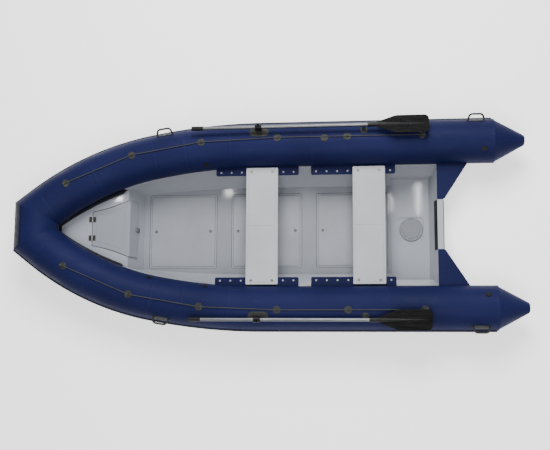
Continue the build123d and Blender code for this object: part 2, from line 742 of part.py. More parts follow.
with BuildPart() as drain_plugs:
    with BuildSketch(AFT_FACE):
        with Locations(DRAIN, (-DRAIN[0], DRAIN[1])):
            Circle(EYE_RADIUS)
    extrude(amount=EYE_PLATE[2])
    with BuildSketch(AFT_FACE.offset(EYE_PLATE[2])):
        with Locations(DRAIN, (-DRAIN[0], DRAIN[1])):
            RegularPolygon(EYE_HOLE_RADIUS, 6)
    extrude(amount=EYE_PLATE[2])
save(drain_plugs, "drain_plugs")

with BuildPart() as bow_eye:
    with BuildSketch(Plane.XZ):
        with Locations(BOW_EYE):
            Circle(EYE_RADIUS)
            with Locations((-EYE_RADIUS, EYE_RADIUS)):
                Rectangle(2 * EYE_RADIUS, 2 * EYE_RADIUS, rotation=45)
            Circle(EYE_HOLE_RADIUS, mode=Mode.SUBTRACT)
    extrude(amount=EYE_THICKNESS / 2, both=True)
    add(hull_form.part, mode=Mode.SUBTRACT)
save(bow_eye, "bow_eye")

PLATE_BASE = Plane.XY.offset(SPLIT_Z - PLATE_RECESS[1])
PLATE_TOP = PLATE_THICKNESS + PLATE_CAP[1]
with BuildPart() as inspection_plate:
    with BuildSketch(PLATE_BASE):
        with Locations((PLATE_X, 0)):
            Circle(PLATE_RADIUS)
    extrude(amount=PLATE_THICKNESS)
    with BuildSketch(PLATE_BASE):
        with Locations((PLATE_X, 0)):
            Circle(PLATE_CAP[0])
    extrude(amount=PLATE_TOP)
    chamfer(inspection_plate.edges().filter_by(GeomType.CIRCLE).group_by(Axis.Z)[1:], PLATE_CAP[1] / 3)
    with BuildSketch(PLATE_BASE.offset(PLATE_TOP)):
        with Locations((PLATE_X, PLATE_GRIP[2]), (PLATE_X, -PLATE_GRIP[2])):
            Circle(PLATE_GRIP[0])
    extrude(amount=-PLATE_GRIP[1], mode=Mode.SUBTRACT)
save(inspection_plate, "inspection_plate")

# Seat boards and the rails that carry them
for name, rail_x, offset in SEATS:
    with BuildPart() as seat:
        with BuildSketch(Plane.XY.offset(TUBE_HEIGHT)):
            with Locations((rail_x + offset, 0)):
                RectangleRounded(SEAT_WIDTH, SEAT_LENGTH, SEAT_CORNER)
        extrude(amount=SEAT_THICKNESS)
        fillet(seat.edges().group_by(Axis.Z)[-1], SEAT_EDGE)
        with BuildSketch(Plane.XY.offset(TUBE_HEIGHT + SEAT_THICKNESS)):
            field = (SEAT_WIDTH - 2 * SEAT_BORDER, SEAT_LENGTH - 2 * SEAT_BORDER)
            with Locations((rail_x + offset, 0)):
                RectangleRounded(*field, SEAT_BORDER)
                inside = [side - 2 * SEAT_LINE[0] for side in field]
                RectangleRounded(*inside, SEAT_BORDER - SEAT_LINE[0], mode=Mode.SUBTRACT)
                Rectangle(inside[0], SEAT_LINE[0])
        extrude(amount=-SEAT_LINE[1], mode=Mode.SUBTRACT)
    save(seat, f"seat_{name}")

with BuildPart() as seat_rails:
    for _, rail_x, _ in SEATS:
        with BuildSketch(Plane.XY.offset(TUBE_HEIGHT - RAIL_THICKNESS)):
            with Locations((rail_x, RAIL_INNER)):
                RectangleRounded(RAIL_LENGTH, TUBE_RADIUS, RAIL_CORNER, align=(Align.CENTER, Align.MIN))
            with Locations((rail_x, RAIL_HOLE_Y)):
                with GridLocations(RAIL_PITCH, 0, RAIL_HOLES, 1):
                    Circle(RAIL_HOLE_RADIUS, mode=Mode.SUBTRACT)
        extrude(amount=RAIL_THICKNESS)
    add(collar_room.part, mode=Mode.SUBTRACT)
save_pair(seat_rails, "seat_rails")


def tube_pad(distance, lean, length, width, height):
    """Rounded pad that lies on the port tube's skin."""
    place = tube_surface(distance, lean)
    depth = TUBE_RADIUS / 4
    axis_plane = Plane(origin=place.origin - place.z_dir * TUBE_RADIUS, z_dir=place.x_dir)
    with BuildPart() as pad:
        with BuildSketch(place.offset(-depth)):
            if length > width:
                SlotOverall(length, width)
            else:
                Circle(width / 2)
        extrude(amount=depth + height)
        with BuildSketch(axis_plane):
            Circle(TUBE_RADIUS + height)
        extrude(amount=length, both=True, mode=Mode.INTERSECT)
        add(collar_room.part, mode=Mode.SUBTRACT)
    return pad.part


def tube_stub(distance, lean, radius, height):
    """Round boss standing on the port tube's skin."""
    place = tube_surface(distance, lean)
    with BuildPart() as stub:
        with BuildSketch(place.offset(-radius / 2)):
            Circle(radius)
        extrude(amount=height + radius / 2)
        add(collar_room.part, mode=Mode.SUBTRACT)
    return stub.part


# Lifelines along the tubes and the patches that hold them, each by a loop
ROPE_HEIGHT = PATCH_HEIGHT + ROPE_RADIUS + FIT
ROPE_STOPS = (PATCHES[-1],) + PATCHES[-3::-1]
rope_points = [tube_surface(s, PATCH_LEAN).offset(ROPE_HEIGHT).origin for s in ROPE_STOPS]
with BuildLine() as route:
    FilletPolyline(*rope_points, radius=ROPE_BEND)


def rope_loop(distance):
    """Loop on a patch for the rope to pass through."""
    place = tube_surface(distance, PATCH_LEAN)
    crossing = Plane(origin=place.origin, x_dir=place.y_dir, z_dir=place.x_dir)
    room = ROPE_RADIUS + LOOP_ROOM
    radius = room + LOOP_WALL
    with BuildPart() as loop:
        with BuildSketch(crossing):
            with Locations((0, ROPE_HEIGHT)):
                Circle(radius)
            Rectangle(2 * radius, 2 * ROPE_HEIGHT)
            with Locations((0, ROPE_HEIGHT)):
                Circle(room, mode=Mode.SUBTRACT)
        extrude(amount=LOOP_LENGTH / 2, both=True)
        add(collar_room.part, mode=Mode.SUBTRACT)
    return loop.part


patch_discs = [tube_pad(s, PATCH_LEAN, 2 * PATCH_RADIUS, 2 * PATCH_RADIUS, PATCH_HEIGHT) for s in PATCHES]
patch_loops = [rope_loop(s) for s in PATCHES]
with BuildPart() as lifeline_patches:
    add(patch_discs)
    add(patch_loops)
save(lifeline_patches, "lifeline_patches_port")
spare_patch = tube_pad(*SPARE_PATCH, 2 * PATCH_RADIUS, 2 * PATCH_RADIUS, PATCH_HEIGHT)
with BuildPart() as starboard_patches:
    mirror(lifeline_patches.part, about=Plane.XZ)
    mirror(spare_patch, about=Plane.XZ)
save(starboard_patches, "lifeline_patches_starboard")

with BuildPart() as lifeline:
    with BuildSketch(Plane(origin=route.line @ 0, z_dir=route.line % 0)):
        Circle(ROPE_RADIUS)
    sweep(path=route.line)
save_pair(lifeline, "lifeline")


def tube_handle(distance):
    """Carrying handle: a pad with a round bar arched over the fingers."""
    place = tube_surface(distance, HANDLE_LEAN)
    pad = tube_pad(distance, HANDLE_LEAN, *HANDLE_PAD)
    height = HANDLE_PAD[2] + HANDLE_RISE + HANDLE_BAR_RADIUS
    foot, corner = HANDLE_SPAN / 2, HANDLE_TOP / 2
    with BuildPart() as handle:
        with BuildLine(Plane(origin=place.origin, x_dir=place.x_dir, z_dir=-place.y_dir)) as bar:
            FilletPolyline(
                (-foot, -HANDLE_BAR_RADIUS),
                (-corner, height),
                (corner, height),
                (foot, -HANDLE_BAR_RADIUS),
                radius=HANDLE_BEND,
            )
        with BuildSketch(Plane(origin=bar.line @ 0, z_dir=bar.line % 0)):
            Circle(HANDLE_BAR_RADIUS)
        sweep(path=bar.line)
        add(collar_room.part, mode=Mode.SUBTRACT)
        add(pad)
    return handle.part


handle_parts = [tube_handle(s) for s in HANDLES]
with BuildPart() as handles:
    add(handle_parts)
save_pair(handles, "handles")

# Inflation valves
def tube_valve(distance, lean):
    """Valve flange with its cap."""
    return [tube_stub(distance, lean, VALVE_RADIUS, VALVE_HEIGHT), tube_stub(distance, lean, *VALVE_CAP)]


side_valves = [tube_valve(*place) for place in VALVES]
bow_valve_parts = tube_valve(*BOW_VALVE)
with BuildPart() as valves:
    for pieces in side_valves:
        add(pieces)
save_pair(valves, "valves")
with BuildPart() as bow_valve:
    add(bow_valve_parts)
save(bow_valve, "bow_valve")

# Rowlocks and oars
ROWLOCK_AT = distance_at(ROWLOCK_X)
ROWLOCK_PLANE = tube_surface(ROWLOCK_AT, ROWLOCK_LEAN)
OAR_PLANE = ROWLOCK_PLANE.offset(OAR_RISE)
rowlock_pad = tube_pad(ROWLOCK_AT, ROWLOCK_LEAN, *ROWLOCK_PAD)
rowlock_boss = tube_stub(ROWLOCK_AT, ROWLOCK_LEAN, ROWLOCK_BOSS_RADIUS, ROWLOCK_BOSS_HEIGHT)
with BuildPart() as rowlock:
    add(rowlock_pad)
    add(rowlock_boss)
    with BuildSketch(ROWLOCK_PLANE.offset(ROWLOCK_BOSS_HEIGHT)):
        Circle(PIN_RADIUS + PIN_GAP)
    extrude(amount=-PIN_LENGTH - PIN_GAP, mode=Mode.SUBTRACT)
save_pair(rowlock, "rowlock")


def oar_section(along):
    """Plane across the oar, so far forward of the pin."""
    return Plane(origin=OAR_PLANE.from_local_coords((along, 0, 0)), x_dir=OAR_PLANE.y_dir, z_dir=OAR_PLANE.x_dir)


with BuildPart() as oar_shaft:
    with BuildSketch(oar_section(BLADE_START)):
        Circle(SHAFT_RADIUS)
    extrude(amount=GRIP_END - GRIP_LENGTH - BLADE_START)
save_pair(oar_shaft, "oar_shaft")

with BuildPart() as oar_grip:
    with BuildSketch(oar_section(GRIP_END - GRIP_LENGTH)):
        Circle(GRIP_RADIUS)
    extrude(amount=GRIP_LENGTH)
    fillet(oar_grip.edges(), GRIP_RADIUS / 4)
save_pair(oar_grip, "oar_grip")

with BuildPart() as oar_collar:
    with BuildSketch(oar_section(-COLLAR_LENGTH / 2)):
        Circle(COLLAR_RADIUS)
    extrude(amount=COLLAR_LENGTH)
    for ring in (-COLLAR_LENGTH / 2, COLLAR_LENGTH / 2 - COLLAR_FLANGE[1]):
        with BuildSketch(oar_section(ring)):
            Circle(COLLAR_FLANGE[0])
        extrude(amount=COLLAR_FLANGE[1])
    with BuildSketch(ROWLOCK_PLANE.offset(ROWLOCK_BOSS_HEIGHT + FIT)):
        Circle(2 * PIN_RADIUS)
    extrude(amount=OAR_RISE - ROWLOCK_BOSS_HEIGHT)
    with BuildSketch(ROWLOCK_PLANE.offset(ROWLOCK_BOSS_HEIGHT - PIN_LENGTH)):
        Circle(PIN_RADIUS)
    extrude(amount=OAR_RISE - ROWLOCK_BOSS_HEIGHT + PIN_LENGTH)
    with BuildSketch(OAR_PLANE):
        Circle(COLLAR_KNOB[0])
    extrude(amount=COLLAR_RADIUS + COLLAR_KNOB[1])
    with BuildSketch(oar_section(-COLLAR_LENGTH)):
        Circle(SHAFT_RADIUS + FIT)
    extrude(amount=2 * COLLAR_LENGTH, mode=Mode.SUBTRACT)
save_pair(oar_collar, "oar_collar")

SOCKET_RADIUS = SHAFT_RADIUS + SOCKET_WALL
with BuildPart() as oar_blade:
    with BuildSketch(OAR_PLANE) as outline:
        with BuildLine():
            shoulder = BLADE_START - BLADE_SHOULDER
            half = (
                (BLADE_START, SOCKET_RADIUS),
                (shoulder, BLADE_WIDTH / 2),
                (BLADE_END, BLADE_WIDTH / 2),
            )
            Polyline(*half, *[(x, -y) for x, y in reversed(half)], close=True)
        make_face()
        fillet(outline.vertices().group_by(Axis.X)[1], BLADE_NECK_ROUND)
        fillet(outline.vertices().group_by(Axis.X)[0], BLADE_END_ROUND)
    extrude(amount=BLADE_THICKNESS / 2, both=True)
    rib_count, rib_pitch, rib_width, rib_height = BLADE_RIBS
    with BuildSketch(OAR_PLANE):
        with Locations((BLADE_END + BLADE_END_ROUND, 0)):
            with GridLocations(0, rib_pitch, 1, rib_count):
                Rectangle(BLADE_RIB_LENGTH, rib_width, align=(Align.MIN, Align.CENTER))
    extrude(amount=rib_height / 2, both=True)
    with BuildSketch(oar_section(BLADE_START)):
        Circle(SOCKET_RADIUS)
    extrude(amount=BLADE_END + BLADE_END_ROUND - BLADE_START, taper=BLADE_SPINE_TAPER)
    with BuildSketch(oar_section(BLADE_START)):
        Circle(SOCKET_RADIUS)
        Circle(SHAFT_RADIUS + FIT, mode=Mode.SUBTRACT)
    extrude(amount=SOCKET_LENGTH)
save_pair(oar_blade, "oar_blade")

rest_patch = tube_pad(OAR_REST_X - BEND_X, ROWLOCK_LEAN, 2 * PATCH_RADIUS, 2 * PATCH_RADIUS, PATCH_HEIGHT)
rest_post = tube_stub(OAR_REST_X - BEND_X, ROWLOCK_LEAN, SHAFT_RADIUS, OAR_RISE - SHAFT_RADIUS - OAR_REST_GAP)
with BuildPart() as oar_rest:
    add(rest_patch)
    add(rest_post)
save_pair(oar_rest, "oar_rest")
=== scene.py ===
"""Finish, small fittings and studio for a rigid inflatable boat, laid out as an add-on and run as a script.

Metres, in the frame's own axes: +X forward, +Y port, +Z up, with the origin at the waterline amidships.
The solids keep their shapes and get their finishes here. Seam bands, seals, trim, laid rope, ribs, rings,
eyelets and fasteners are made by Geometry Nodes.
"""

import json
import math

import bpy
from bpy.props import FloatProperty, FloatVectorProperty, IntProperty, PointerProperty
from mathutils import Matrix, Vector

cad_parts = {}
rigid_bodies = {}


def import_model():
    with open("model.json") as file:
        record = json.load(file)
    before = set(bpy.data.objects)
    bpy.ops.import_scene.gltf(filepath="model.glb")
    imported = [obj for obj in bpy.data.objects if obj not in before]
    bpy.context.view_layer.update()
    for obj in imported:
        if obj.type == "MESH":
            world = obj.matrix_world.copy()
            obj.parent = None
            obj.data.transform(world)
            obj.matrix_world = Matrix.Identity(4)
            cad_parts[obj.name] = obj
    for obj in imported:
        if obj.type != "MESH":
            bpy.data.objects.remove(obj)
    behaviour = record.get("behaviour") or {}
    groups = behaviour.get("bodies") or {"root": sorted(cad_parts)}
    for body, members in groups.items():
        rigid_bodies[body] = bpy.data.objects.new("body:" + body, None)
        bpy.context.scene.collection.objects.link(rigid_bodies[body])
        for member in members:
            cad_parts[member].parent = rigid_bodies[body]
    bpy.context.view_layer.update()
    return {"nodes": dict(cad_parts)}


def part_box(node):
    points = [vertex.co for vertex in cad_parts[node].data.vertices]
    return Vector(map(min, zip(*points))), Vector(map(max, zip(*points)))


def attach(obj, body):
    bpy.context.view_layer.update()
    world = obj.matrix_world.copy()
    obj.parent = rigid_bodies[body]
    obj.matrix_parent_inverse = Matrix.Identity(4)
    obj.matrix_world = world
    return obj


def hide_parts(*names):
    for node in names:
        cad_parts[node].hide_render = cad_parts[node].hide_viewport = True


bl_info = {
    "name": "Rigid inflatable boat",
    "version": (1, 0, 0),
    "blender": (4, 5, 0),
    "location": "3D View > Sidebar > Boat",
    "description": "Finishes, small fittings and studio for a rigid inflatable boat",
    "category": "Object",
}

for leftover in list(bpy.data.objects):
    bpy.data.objects.remove(leftover)
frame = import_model()
NODES = frame["nodes"]
SIDES = (("port", 1), ("starboard", -1))

# Axis of the port tube: where it bends, its two bends as radius and turn, and the lean of their plane
AFT_LOW, AFT_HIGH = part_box("tube_aft_port")
TUBE_RADIUS = (AFT_HIGH.z - AFT_LOW.z) / 2
BEND_START = Vector((AFT_HIGH.x, (AFT_LOW.y + AFT_HIGH.y) / 2, (AFT_LOW.z + AFT_HIGH.z) / 2))
BENDS = ((5.3, math.radians(11.5)), (2.45, math.radians(27.5)))
BOW_ROLL = math.radians(8)
BEND_INBOARD = Vector((0, -math.cos(BOW_ROLL), math.sin(BOW_ROLL)))

# Directions that the small pieces face
UP = (0, 0, 1)
AFT = (-1, 0, 0)

# Pale scuffs on the coated cloth, and the grain of metal that has none
CHALK = (0.16, 0.17, 0.22, 1)
EVEN_GRAIN = (1.0, 1.0, 1.0)

# Places along the tube, as distance forward of where it bends, with the lean outboard of straight up
SEAMS = (-2.16, -1.18, -0.48, 0.3, 0.74, 1.04, 1.65, 2.2)
SEAM_SEGMENTS = 96
ROPE_STOPS = (1.926, 1.245, 0.568, -0.16, -1.507)
PATCH_LEAN = math.radians(7)
ROWLOCK_AT = 0.014
ROWLOCK_LEAN = math.radians(24)

# Lifelines: the rope's height over the tube and its free ends, its strands and the stoppers on its ends
ROPE_RISE = 0.0089
ROPE_END = 0.022
ROPE_STEP = 0.006
STRANDS = 3
STRAND_RADIUS = 0.0024
LAY_RADIUS = 0.0021
STOPPER_RADIUS = 0.0115

# Rowlock pads with their ribs, and the oars' height over the tube and their grips
PAD_LENGTH = 0.19
PAD_WIDTH = 0.092
PAD_HEIGHT = 0.005
PAD_RIBS = (-2, -1, 0, 1, 2)
PAD_RIB_PITCH = 0.0155
PAD_RIB_RADIUS = 0.003
PAD_RIB_LENGTH = PAD_LENGTH * 0.94
OAR_RISE = 0.079
GRIP_END = 0.636
GRIP_LENGTH = 0.112
GRIP_RING_RADIUS = 0.0197
GRIP_RING_BAND = (0.006, 0.004, 28)  # width, height and segments, as for every band

# Dark rubber trim in the groove between the bow deck and the tubes, standing in for the shadow there (painted shadow):
# where it starts along the tube, its half width, how flat it is, and the length and thin end of its tapered tails
TRIM_START = 0.8
TRIM_HALF_WIDTH = 0.026
TRIM_FLATNESS = 0.42
TRIM_TAIL = 0.075
TRIM_TIP = 0.2
TRIM_PLACES = 200
TRIM_PITCH = 0.01
TRIM_STEP = 0.02

# Lid of the bow locker: half width at its hinges, how far its long edges bow in, the gap round it and its seal
LID_FRONT = 0.166
LID_BOW = 0.013
LID_GAP = 0.003
LID_ROUND = 0.012
LID_SEAL_SINK = 0.002
LID_SEAL_RADIUS = 0.0034
LID_SEAL_PARTS = 24

# Hinges: the heights over the deck between which the barrels turn lighter, a painted highlight, and where the screws
# sit
BARREL_HIGHLIGHT_RISE = (0.006, 0.01)
HINGE_MIDDLE_INSET = 0.026
HINGE_SCREW_INSET = 0.011
HINGE_SCREW_SPREAD = 0.015
HINGE_SCREW_RISE = 0.003

# Floor panels: the gap round them, the radius of their corners and the seal in the gap
PANELS = ("floor_panel_1", "floor_panel_2", "floor_panel_3")
PANEL_GAP = 0.003
PANEL_CORNER = 0.018
PANEL_CORNER_PARTS = 4
PANEL_SEAL_SINK = 0.0035
PANEL_SEAL_RADIUS = 0.0024
SEAL_STEP = 0.012

# Dark line inside a panel's edge, the painted shade of a moulded line: how far in, how deep and how wide beside the
# seal
PANEL_BORDER = 0.019
PANEL_SHADE_LINE_SINK = 0.0008
PANEL_SHADE_LINE_SHARE = 0.6

# Screws and pull rings of the floor panels
PANEL_SCREW_INSET = 0.007
PANEL_SCREW_SINK = 0.002
PULL_INSET = 0.062
PULL_SINK = 0.003
PULL_RADIUS = 0.009
PULL_BAND = (0.004, 0.007, 28)

# Inspection plate: its seal and its screws, as heights over the plate's underside
PLATE_SEAL_RISE = 0.007
PLATE_SEAL_BAND = (0.004, 0.005, 72)
PLATE_SCREWS = 8
PLATE_SCREW_INSET = 0.012
PLATE_SCREW_RISE = 0.009

# Rail eyelets and the bolts that hold the seat boards
RAIL_MIDDLES = (0.314, -0.6)
RAIL_HOLES = 8
RAIL_HOLE_Y = 0.52
RAIL_PITCH = 0.1
EYELET_BAND = (0.005, 0.005, 24)
SEAT_BOLT_HOLES = ((-1.5, 0.5), (-2.5, -0.5))

# Transom: how far in the motor pad's bolts sit, and the stern eyes' plates with their corner screws, across and up
PAD_BOLT_INSET = (0.04, 0.03)
EYE_PLACE = (0.33, 0.07)
EYE_SCREW_REACH = (0.023, 0.014)
EYE_PLATE = 0.005

# Heights of the heads, and their washers' and bands' shares of them
FLOOR_SCREW_HEIGHT = 0.0018
HINGE_SCREW_HEIGHT = 0.002
SEAT_BOLT_HEIGHT = 0.005
TRANSOM_BOLT_HEIGHT = 0.003
SCREW_WASHER = 1.3
BOLT_WASHER = 1.4
WASHER_DEPTH = 0.6
BAND_ROUNDING = 0.45

# Photograph's camera: place, the directions of its right and down, and its focal length in pixels
CAMERA_PLACE = Vector((-0.8387, 1.3181, 9.1746))
CAMERA_RIGHT = Vector((-0.99406, -0.00489, -0.10875))
CAMERA_DOWN = Vector((0.01113, 0.98918, -0.14625))
FOCAL_PIXELS = 952.54
IMAGE_WIDTH = 550
SENSOR_WIDTH = 36

# Large soft lights, aimed at one point: name, the setting of its power, size and place
SOFT_LIGHTS = (
    ("key_light", "key", 4.4, (-0.3, -5.5, 7.5)),
    ("port_light", "side", 4.0, (-0.6, 3.6, 7.8)),
)
LIGHT_TARGET = (0, 0, 0.2)

# Small lamps over the boat: name, place, length along the boat, width across it and share of the power
CEILING_LAMPS = (
    ("deck_lamp", 3.88, -1.72, 0.11, 0.12, 0.85),
    ("floor_lamp", 1.93, -1.88, 0.08, 0.1, 0.5),
    ("well_lamp", -1.56, -1.75, 0.045, 0.6, 1.1),
    ("seat_lamp", -1.06, -1.65, 0.03, 0.3, 0.25),
)
LAMP_HEIGHT = 8.0

# Studio floor: its radius, the middle that its rays leave from, and the half width of its opening,
# inside the hull at the waterline
FLOOR_RADIUS = 60
FLOOR_MIDDLE = 0.3
WATERLINE = ((-1.41, 0.6), (0.26, 0.6), (0.86, 0.55), (1.36, 0.46), (1.8, 0.3), (2.1, 0.06))


def tube_axis(distance, side):
    """Point and direction of a tube's axis, so far forward of where it bends."""
    along, inboard, heading = min(distance, 0), 0, 0
    left = max(distance, 0)
    for radius, turn in BENDS:
        step = min(left / radius, turn)
        along += radius * (math.sin(heading + step) - math.sin(heading))
        inboard += radius * (math.cos(heading) - math.cos(heading + step))
        heading += step
        left -= step * radius
    along += left * math.cos(heading)
    inboard += left * math.sin(heading)
    point = BEND_START + Vector((along, 0, 0)) + BEND_INBOARD * inboard
    direction = Vector((math.cos(heading), 0, 0)) + BEND_INBOARD * math.sin(heading)
    return Vector((point.x, side * point.y, point.z)), Vector((direction.x, side * direction.y, direction.z))


def tube_skin(distance, lean, side):
    """Place on a tube's skin, the direction along the tube and the direction outwards."""
    point, direction = tube_axis(distance, side)
    outboard = Vector(UP).cross(direction).normalized() * side
    over = direction.cross(outboard) * side
    outwards = over * math.cos(lean) + outboard * math.sin(lean)
    return point + outwards * TUBE_RADIUS, direction, outwards


def deck_edge():
    """Route along the bow deck's edge beside the tubes, starboard round to port, with its width there."""
    low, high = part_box("bow_deck")
    height = high.z - TRIM_HALF_WIDTH * TRIM_FLATNESS / 2
    bow_low, bow_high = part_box("tube_bow")
    drop = (bow_low.z + bow_high.z) / 2 - height
    front = bow_high.x - TUBE_RADIUS - math.sqrt((TUBE_RADIUS + TRIM_HALF_WIDTH) ** 2 - drop**2)
    half = []
    for count in range(TRIM_PLACES):
        point, direction = tube_axis(TRIM_START + count * TRIM_PITCH, 1)
        outboard = Vector(UP).cross(direction).normalized()
        over = direction.cross(outboard)
        rise = (height - point.z) / over.z
        beside = point + over * rise - outboard * math.sqrt(TUBE_RADIUS**2 - rise**2)
        taper = min((beside.x - low.x) / TRIM_TAIL, 1)
        if taper < TRIM_TIP:
            continue
        reach = TUBE_RADIUS + TRIM_HALF_WIDTH * taper
        place = point + over * rise - outboard * math.sqrt(reach**2 - rise**2)
        if place.x > front or place.y < 0:
            break
        half.append(at(place, UP, (taper, taper, taper)))
    mirrored = [at((place.x, -place.y, place.z), heading, stretch) for place, heading, stretch in half]
    return mirrored + half[::-1]


def lid_edge():
    """Route in the gap round the locker lid, from its starboard aft corner to its port one."""
    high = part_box("locker_lid")[1]
    deck_low, deck_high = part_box("bow_deck")
    front = Vector((high.x + LID_GAP / 2, LID_FRONT + LID_GAP / 2, deck_high.z - LID_SEAL_SINK))
    back = Vector((deck_low.x + LID_ROUND, high.y + LID_GAP / 2, front.z))
    inward = Vector((back.y - front.y, back.x - front.x, 0)).normalized()
    half = []
    for count in range(LID_SEAL_PARTS + 1):
        along = count / LID_SEAL_PARTS
        half.append(back.lerp(front, along) + inward * 4 * LID_BOW * along * (1 - along))
    return [Vector((place.x, -place.y, place.z)) for place in half] + half[::-1]


def panel_edge(low, high, sink):
    """Rounded outline just outside a box's edge, so far under its top."""
    middle = (low + high) / 2
    reach = PANEL_CORNER + PANEL_GAP / 2
    route = []
    for corner, (x, y) in enumerate(((high.x, high.y), (low.x, high.y), (low.x, low.y), (high.x, low.y))):
        centre_x = x - math.copysign(PANEL_CORNER, x - middle.x)
        centre_y = y - math.copysign(PANEL_CORNER, y - middle.y)
        for part in range(PANEL_CORNER_PARTS + 1):
            turn = (corner + part / PANEL_CORNER_PARTS) * math.pi / 2
            place = (centre_x + reach * math.cos(turn), centre_y + reach * math.sin(turn), high.z - sink)
            route.append(Vector(place))
    return route


def connect(tree, socket, value):
    """Give a socket a link or a value."""
    if isinstance(value, Wire):
        tree.links.new(value.socket, socket)
    elif value is not None:
        socket.default_value = value


class Wire:
    """An output socket that takes part in Python sums."""

    def __init__(self, tree, socket):
        self.tree = tree
        self.socket = socket

    def math(self, operation, first, second=None):
        """Add a Math node on two values."""
        node = self.tree.nodes.new("ShaderNodeMath")
        node.operation = operation
        connect(self.tree, node.inputs[0], first)
        connect(self.tree, node.inputs[1], second)
        return Wire(self.tree, node.outputs[0])

    def __add__(self, other):
        return self.math("ADD", self, other)

    def __mul__(self, other):
        return self.math("MULTIPLY", self, other)

    def __truediv__(self, other):
        return self.math("DIVIDE", self, other)

    def __radd__(self, other):
        return self.math("ADD", other, self)

    def __rmul__(self, other):
        return self.math("MULTIPLY", other, self)

    def __rtruediv__(self, other):
        return self.math("DIVIDE", other, self)

    def cosine(self):
        """Cosine of an angle."""
        return self.math("COSINE", self)

    def sine(self):
        """Sine of an angle."""
        return self.math("SINE", self)


class Graph:
    """A node tree under construction."""

    def __init__(self, tree):
        self.tree = tree

    def node(self, kind, settings=None, sockets=None, out=0):
        """Add a node, set it up, fill its sockets by name or place, and hand back one output."""
        made = self.tree.nodes.new(kind)
        for name, value in (settings or {}).items():
            setattr(made, name, value)
        for name, value in (sockets or {}).items():
            connect(self.tree, made.inputs[name], value)
        return Wire(self.tree, made.outputs[out])


class Finish(Graph):
    """A material under construction, on one Principled shader."""

    def __init__(self, name, **constants):
        self.material = bpy.data.materials.new(name)
        self.material.use_nodes = True
        super().__init__(self.material.node_tree)
        self.shader = self.tree.nodes["Principled BSDF"]
        for socket, value in constants.items():
            self.put(socket, value)
        self.place = self.node("ShaderNodeTexCoord", out="Object")

    def put(self, socket, value):
        """Fill one of the shader's sockets."""
        connect(self.tree, self.shader.inputs[socket.replace("_", " ")], value)

    def noise(self, scale, detail=3.0, stretch=None):
        """Soft random value from 0 to 1."""
        where = self.place
        if stretch:
            where = self.node("ShaderNodeMapping", sockets={"Vector": where, "Scale": stretch})
        return self.node("ShaderNodeTexNoise", sockets={"Vector": where, "Scale": scale, "Detail": detail})

    def cells(self, scale):
        """Distance to the nearest of many scattered points."""
        return self.node("ShaderNodeTexVoronoi", sockets={"Vector": self.place, "Scale": scale})

    def ramp(self, value, low, high, to_low=0.0, to_high=1.0):
        """Ease a value from one span to another."""
        limits = {"Value": value, "From Min": low, "From Max": high, "To Min": to_low, "To Max": to_high}
        return self.node("ShaderNodeMapRange", {"interpolation_type": "SMOOTHSTEP"}, limits)

    def blend(self, factor, first, second):
        """Mix two colours."""
        return self.node("ShaderNodeMix", {"data_type": "RGBA"}, {0: factor, 6: first, 7: second}, out=2)

    def axis(self, name):
        """One coordinate of the place."""
        return self.node("ShaderNodeSeparateXYZ", sockets={0: self.place}, out=name)

    def upward(self):
        """How far a face looks up."""
        normal = self.node("ShaderNodeNewGeometry", out="Normal")
        return self.node("ShaderNodeSeparateXYZ", sockets={0: normal}, out="Z")

    def rounded(self, radius):
        """Normal with the sharp edges eased."""
        return self.node("ShaderNodeBevel", {"samples": 4}, {"Radius": radius})

    def bump(self, height, strength, depth, normal=None):
        """Raise the surface by a height."""
        sockets = {"Height": height, "Strength": strength, "Distance": depth, "Normal": normal}
        return self.node("ShaderNodeBump", sockets=sockets)

    def done(self, colour, roughness, normal):
        """Fill the shader's main sockets and hand back the material."""
        self.put("Base Color", colour)
        self.put("Roughness", roughness)
        self.put("Normal", normal)
        return self.material


def shade(colour, factor=1.0):
    """A colour made lighter or darker, and opaque."""
    return tuple(min(1.0, part * factor) for part in colour[:3]) + (1.0,)


def tube_fabric(name, colour):
    """Tight coated cloth: satin, a little cloudy, scuffed in places."""
    skin = Finish(name, Specular_IOR_Level=0.07)
    cloudy = skin.noise(1.7, 4.0)
    streaks = skin.noise(9.0, 5.0, (0.35, 1.0, 1.0))
    scuffs = skin.ramp(skin.noise(38.0, 8.0, (0.4, 1.0, 1.0)), 0.62, 0.8)
    base = skin.blend(skin.ramp(cloudy, 0.3, 0.7), shade(colour, 0.9), shade(colour, 1.12))
    base = skin.blend(scuffs * 0.06, base, CHALK)
    roughness = skin.ramp(streaks, 0.25, 0.75, 0.48, 0.62)
    weave = skin.cells(620.0)
    slack = skin.noise(5.0, 2.0)
    return skin.done(base, roughness, skin.bump(weave, 0.25, 0.0006, skin.bump(slack, 0.3, 0.006)))


def gelcoat(name, colour, grime, round_edges, tide=None):
    """Moulded shell: glossy, faintly uneven, dulled in patches."""
    shell = Finish(name, Coat_Roughness=0.06, Coat_Weight=0.6, Specular_IOR_Level=0.3)
    cloudy = shell.noise(1.1, 3.0)
    dulled = shell.noise(11.0, 6.0)
    base = shell.blend(shell.ramp(cloudy, 0.3, 0.7), shade(colour, 0.97), shade(colour, 1.03))
    base = shell.blend(shell.ramp(dulled, 0.56, 0.78) * 0.05, base, grime)
    if tide:
        height = shell.axis("Z") + shell.noise(6.0, 4.0) * 0.03
        band = shell.ramp(height, -0.03, 0.02) * shell.ramp(height, 0.1, 0.03)
        base = shell.blend(band * 0.3, base, tide)
    roughness = shell.ramp(dulled, 0.3, 0.75, 0.32, 0.42)
    peel = shell.noise(70.0, 2.0)
    return shell.done(base, roughness, shell.bump(peel, 0.08, 0.0008, shell.rounded(round_edges)))


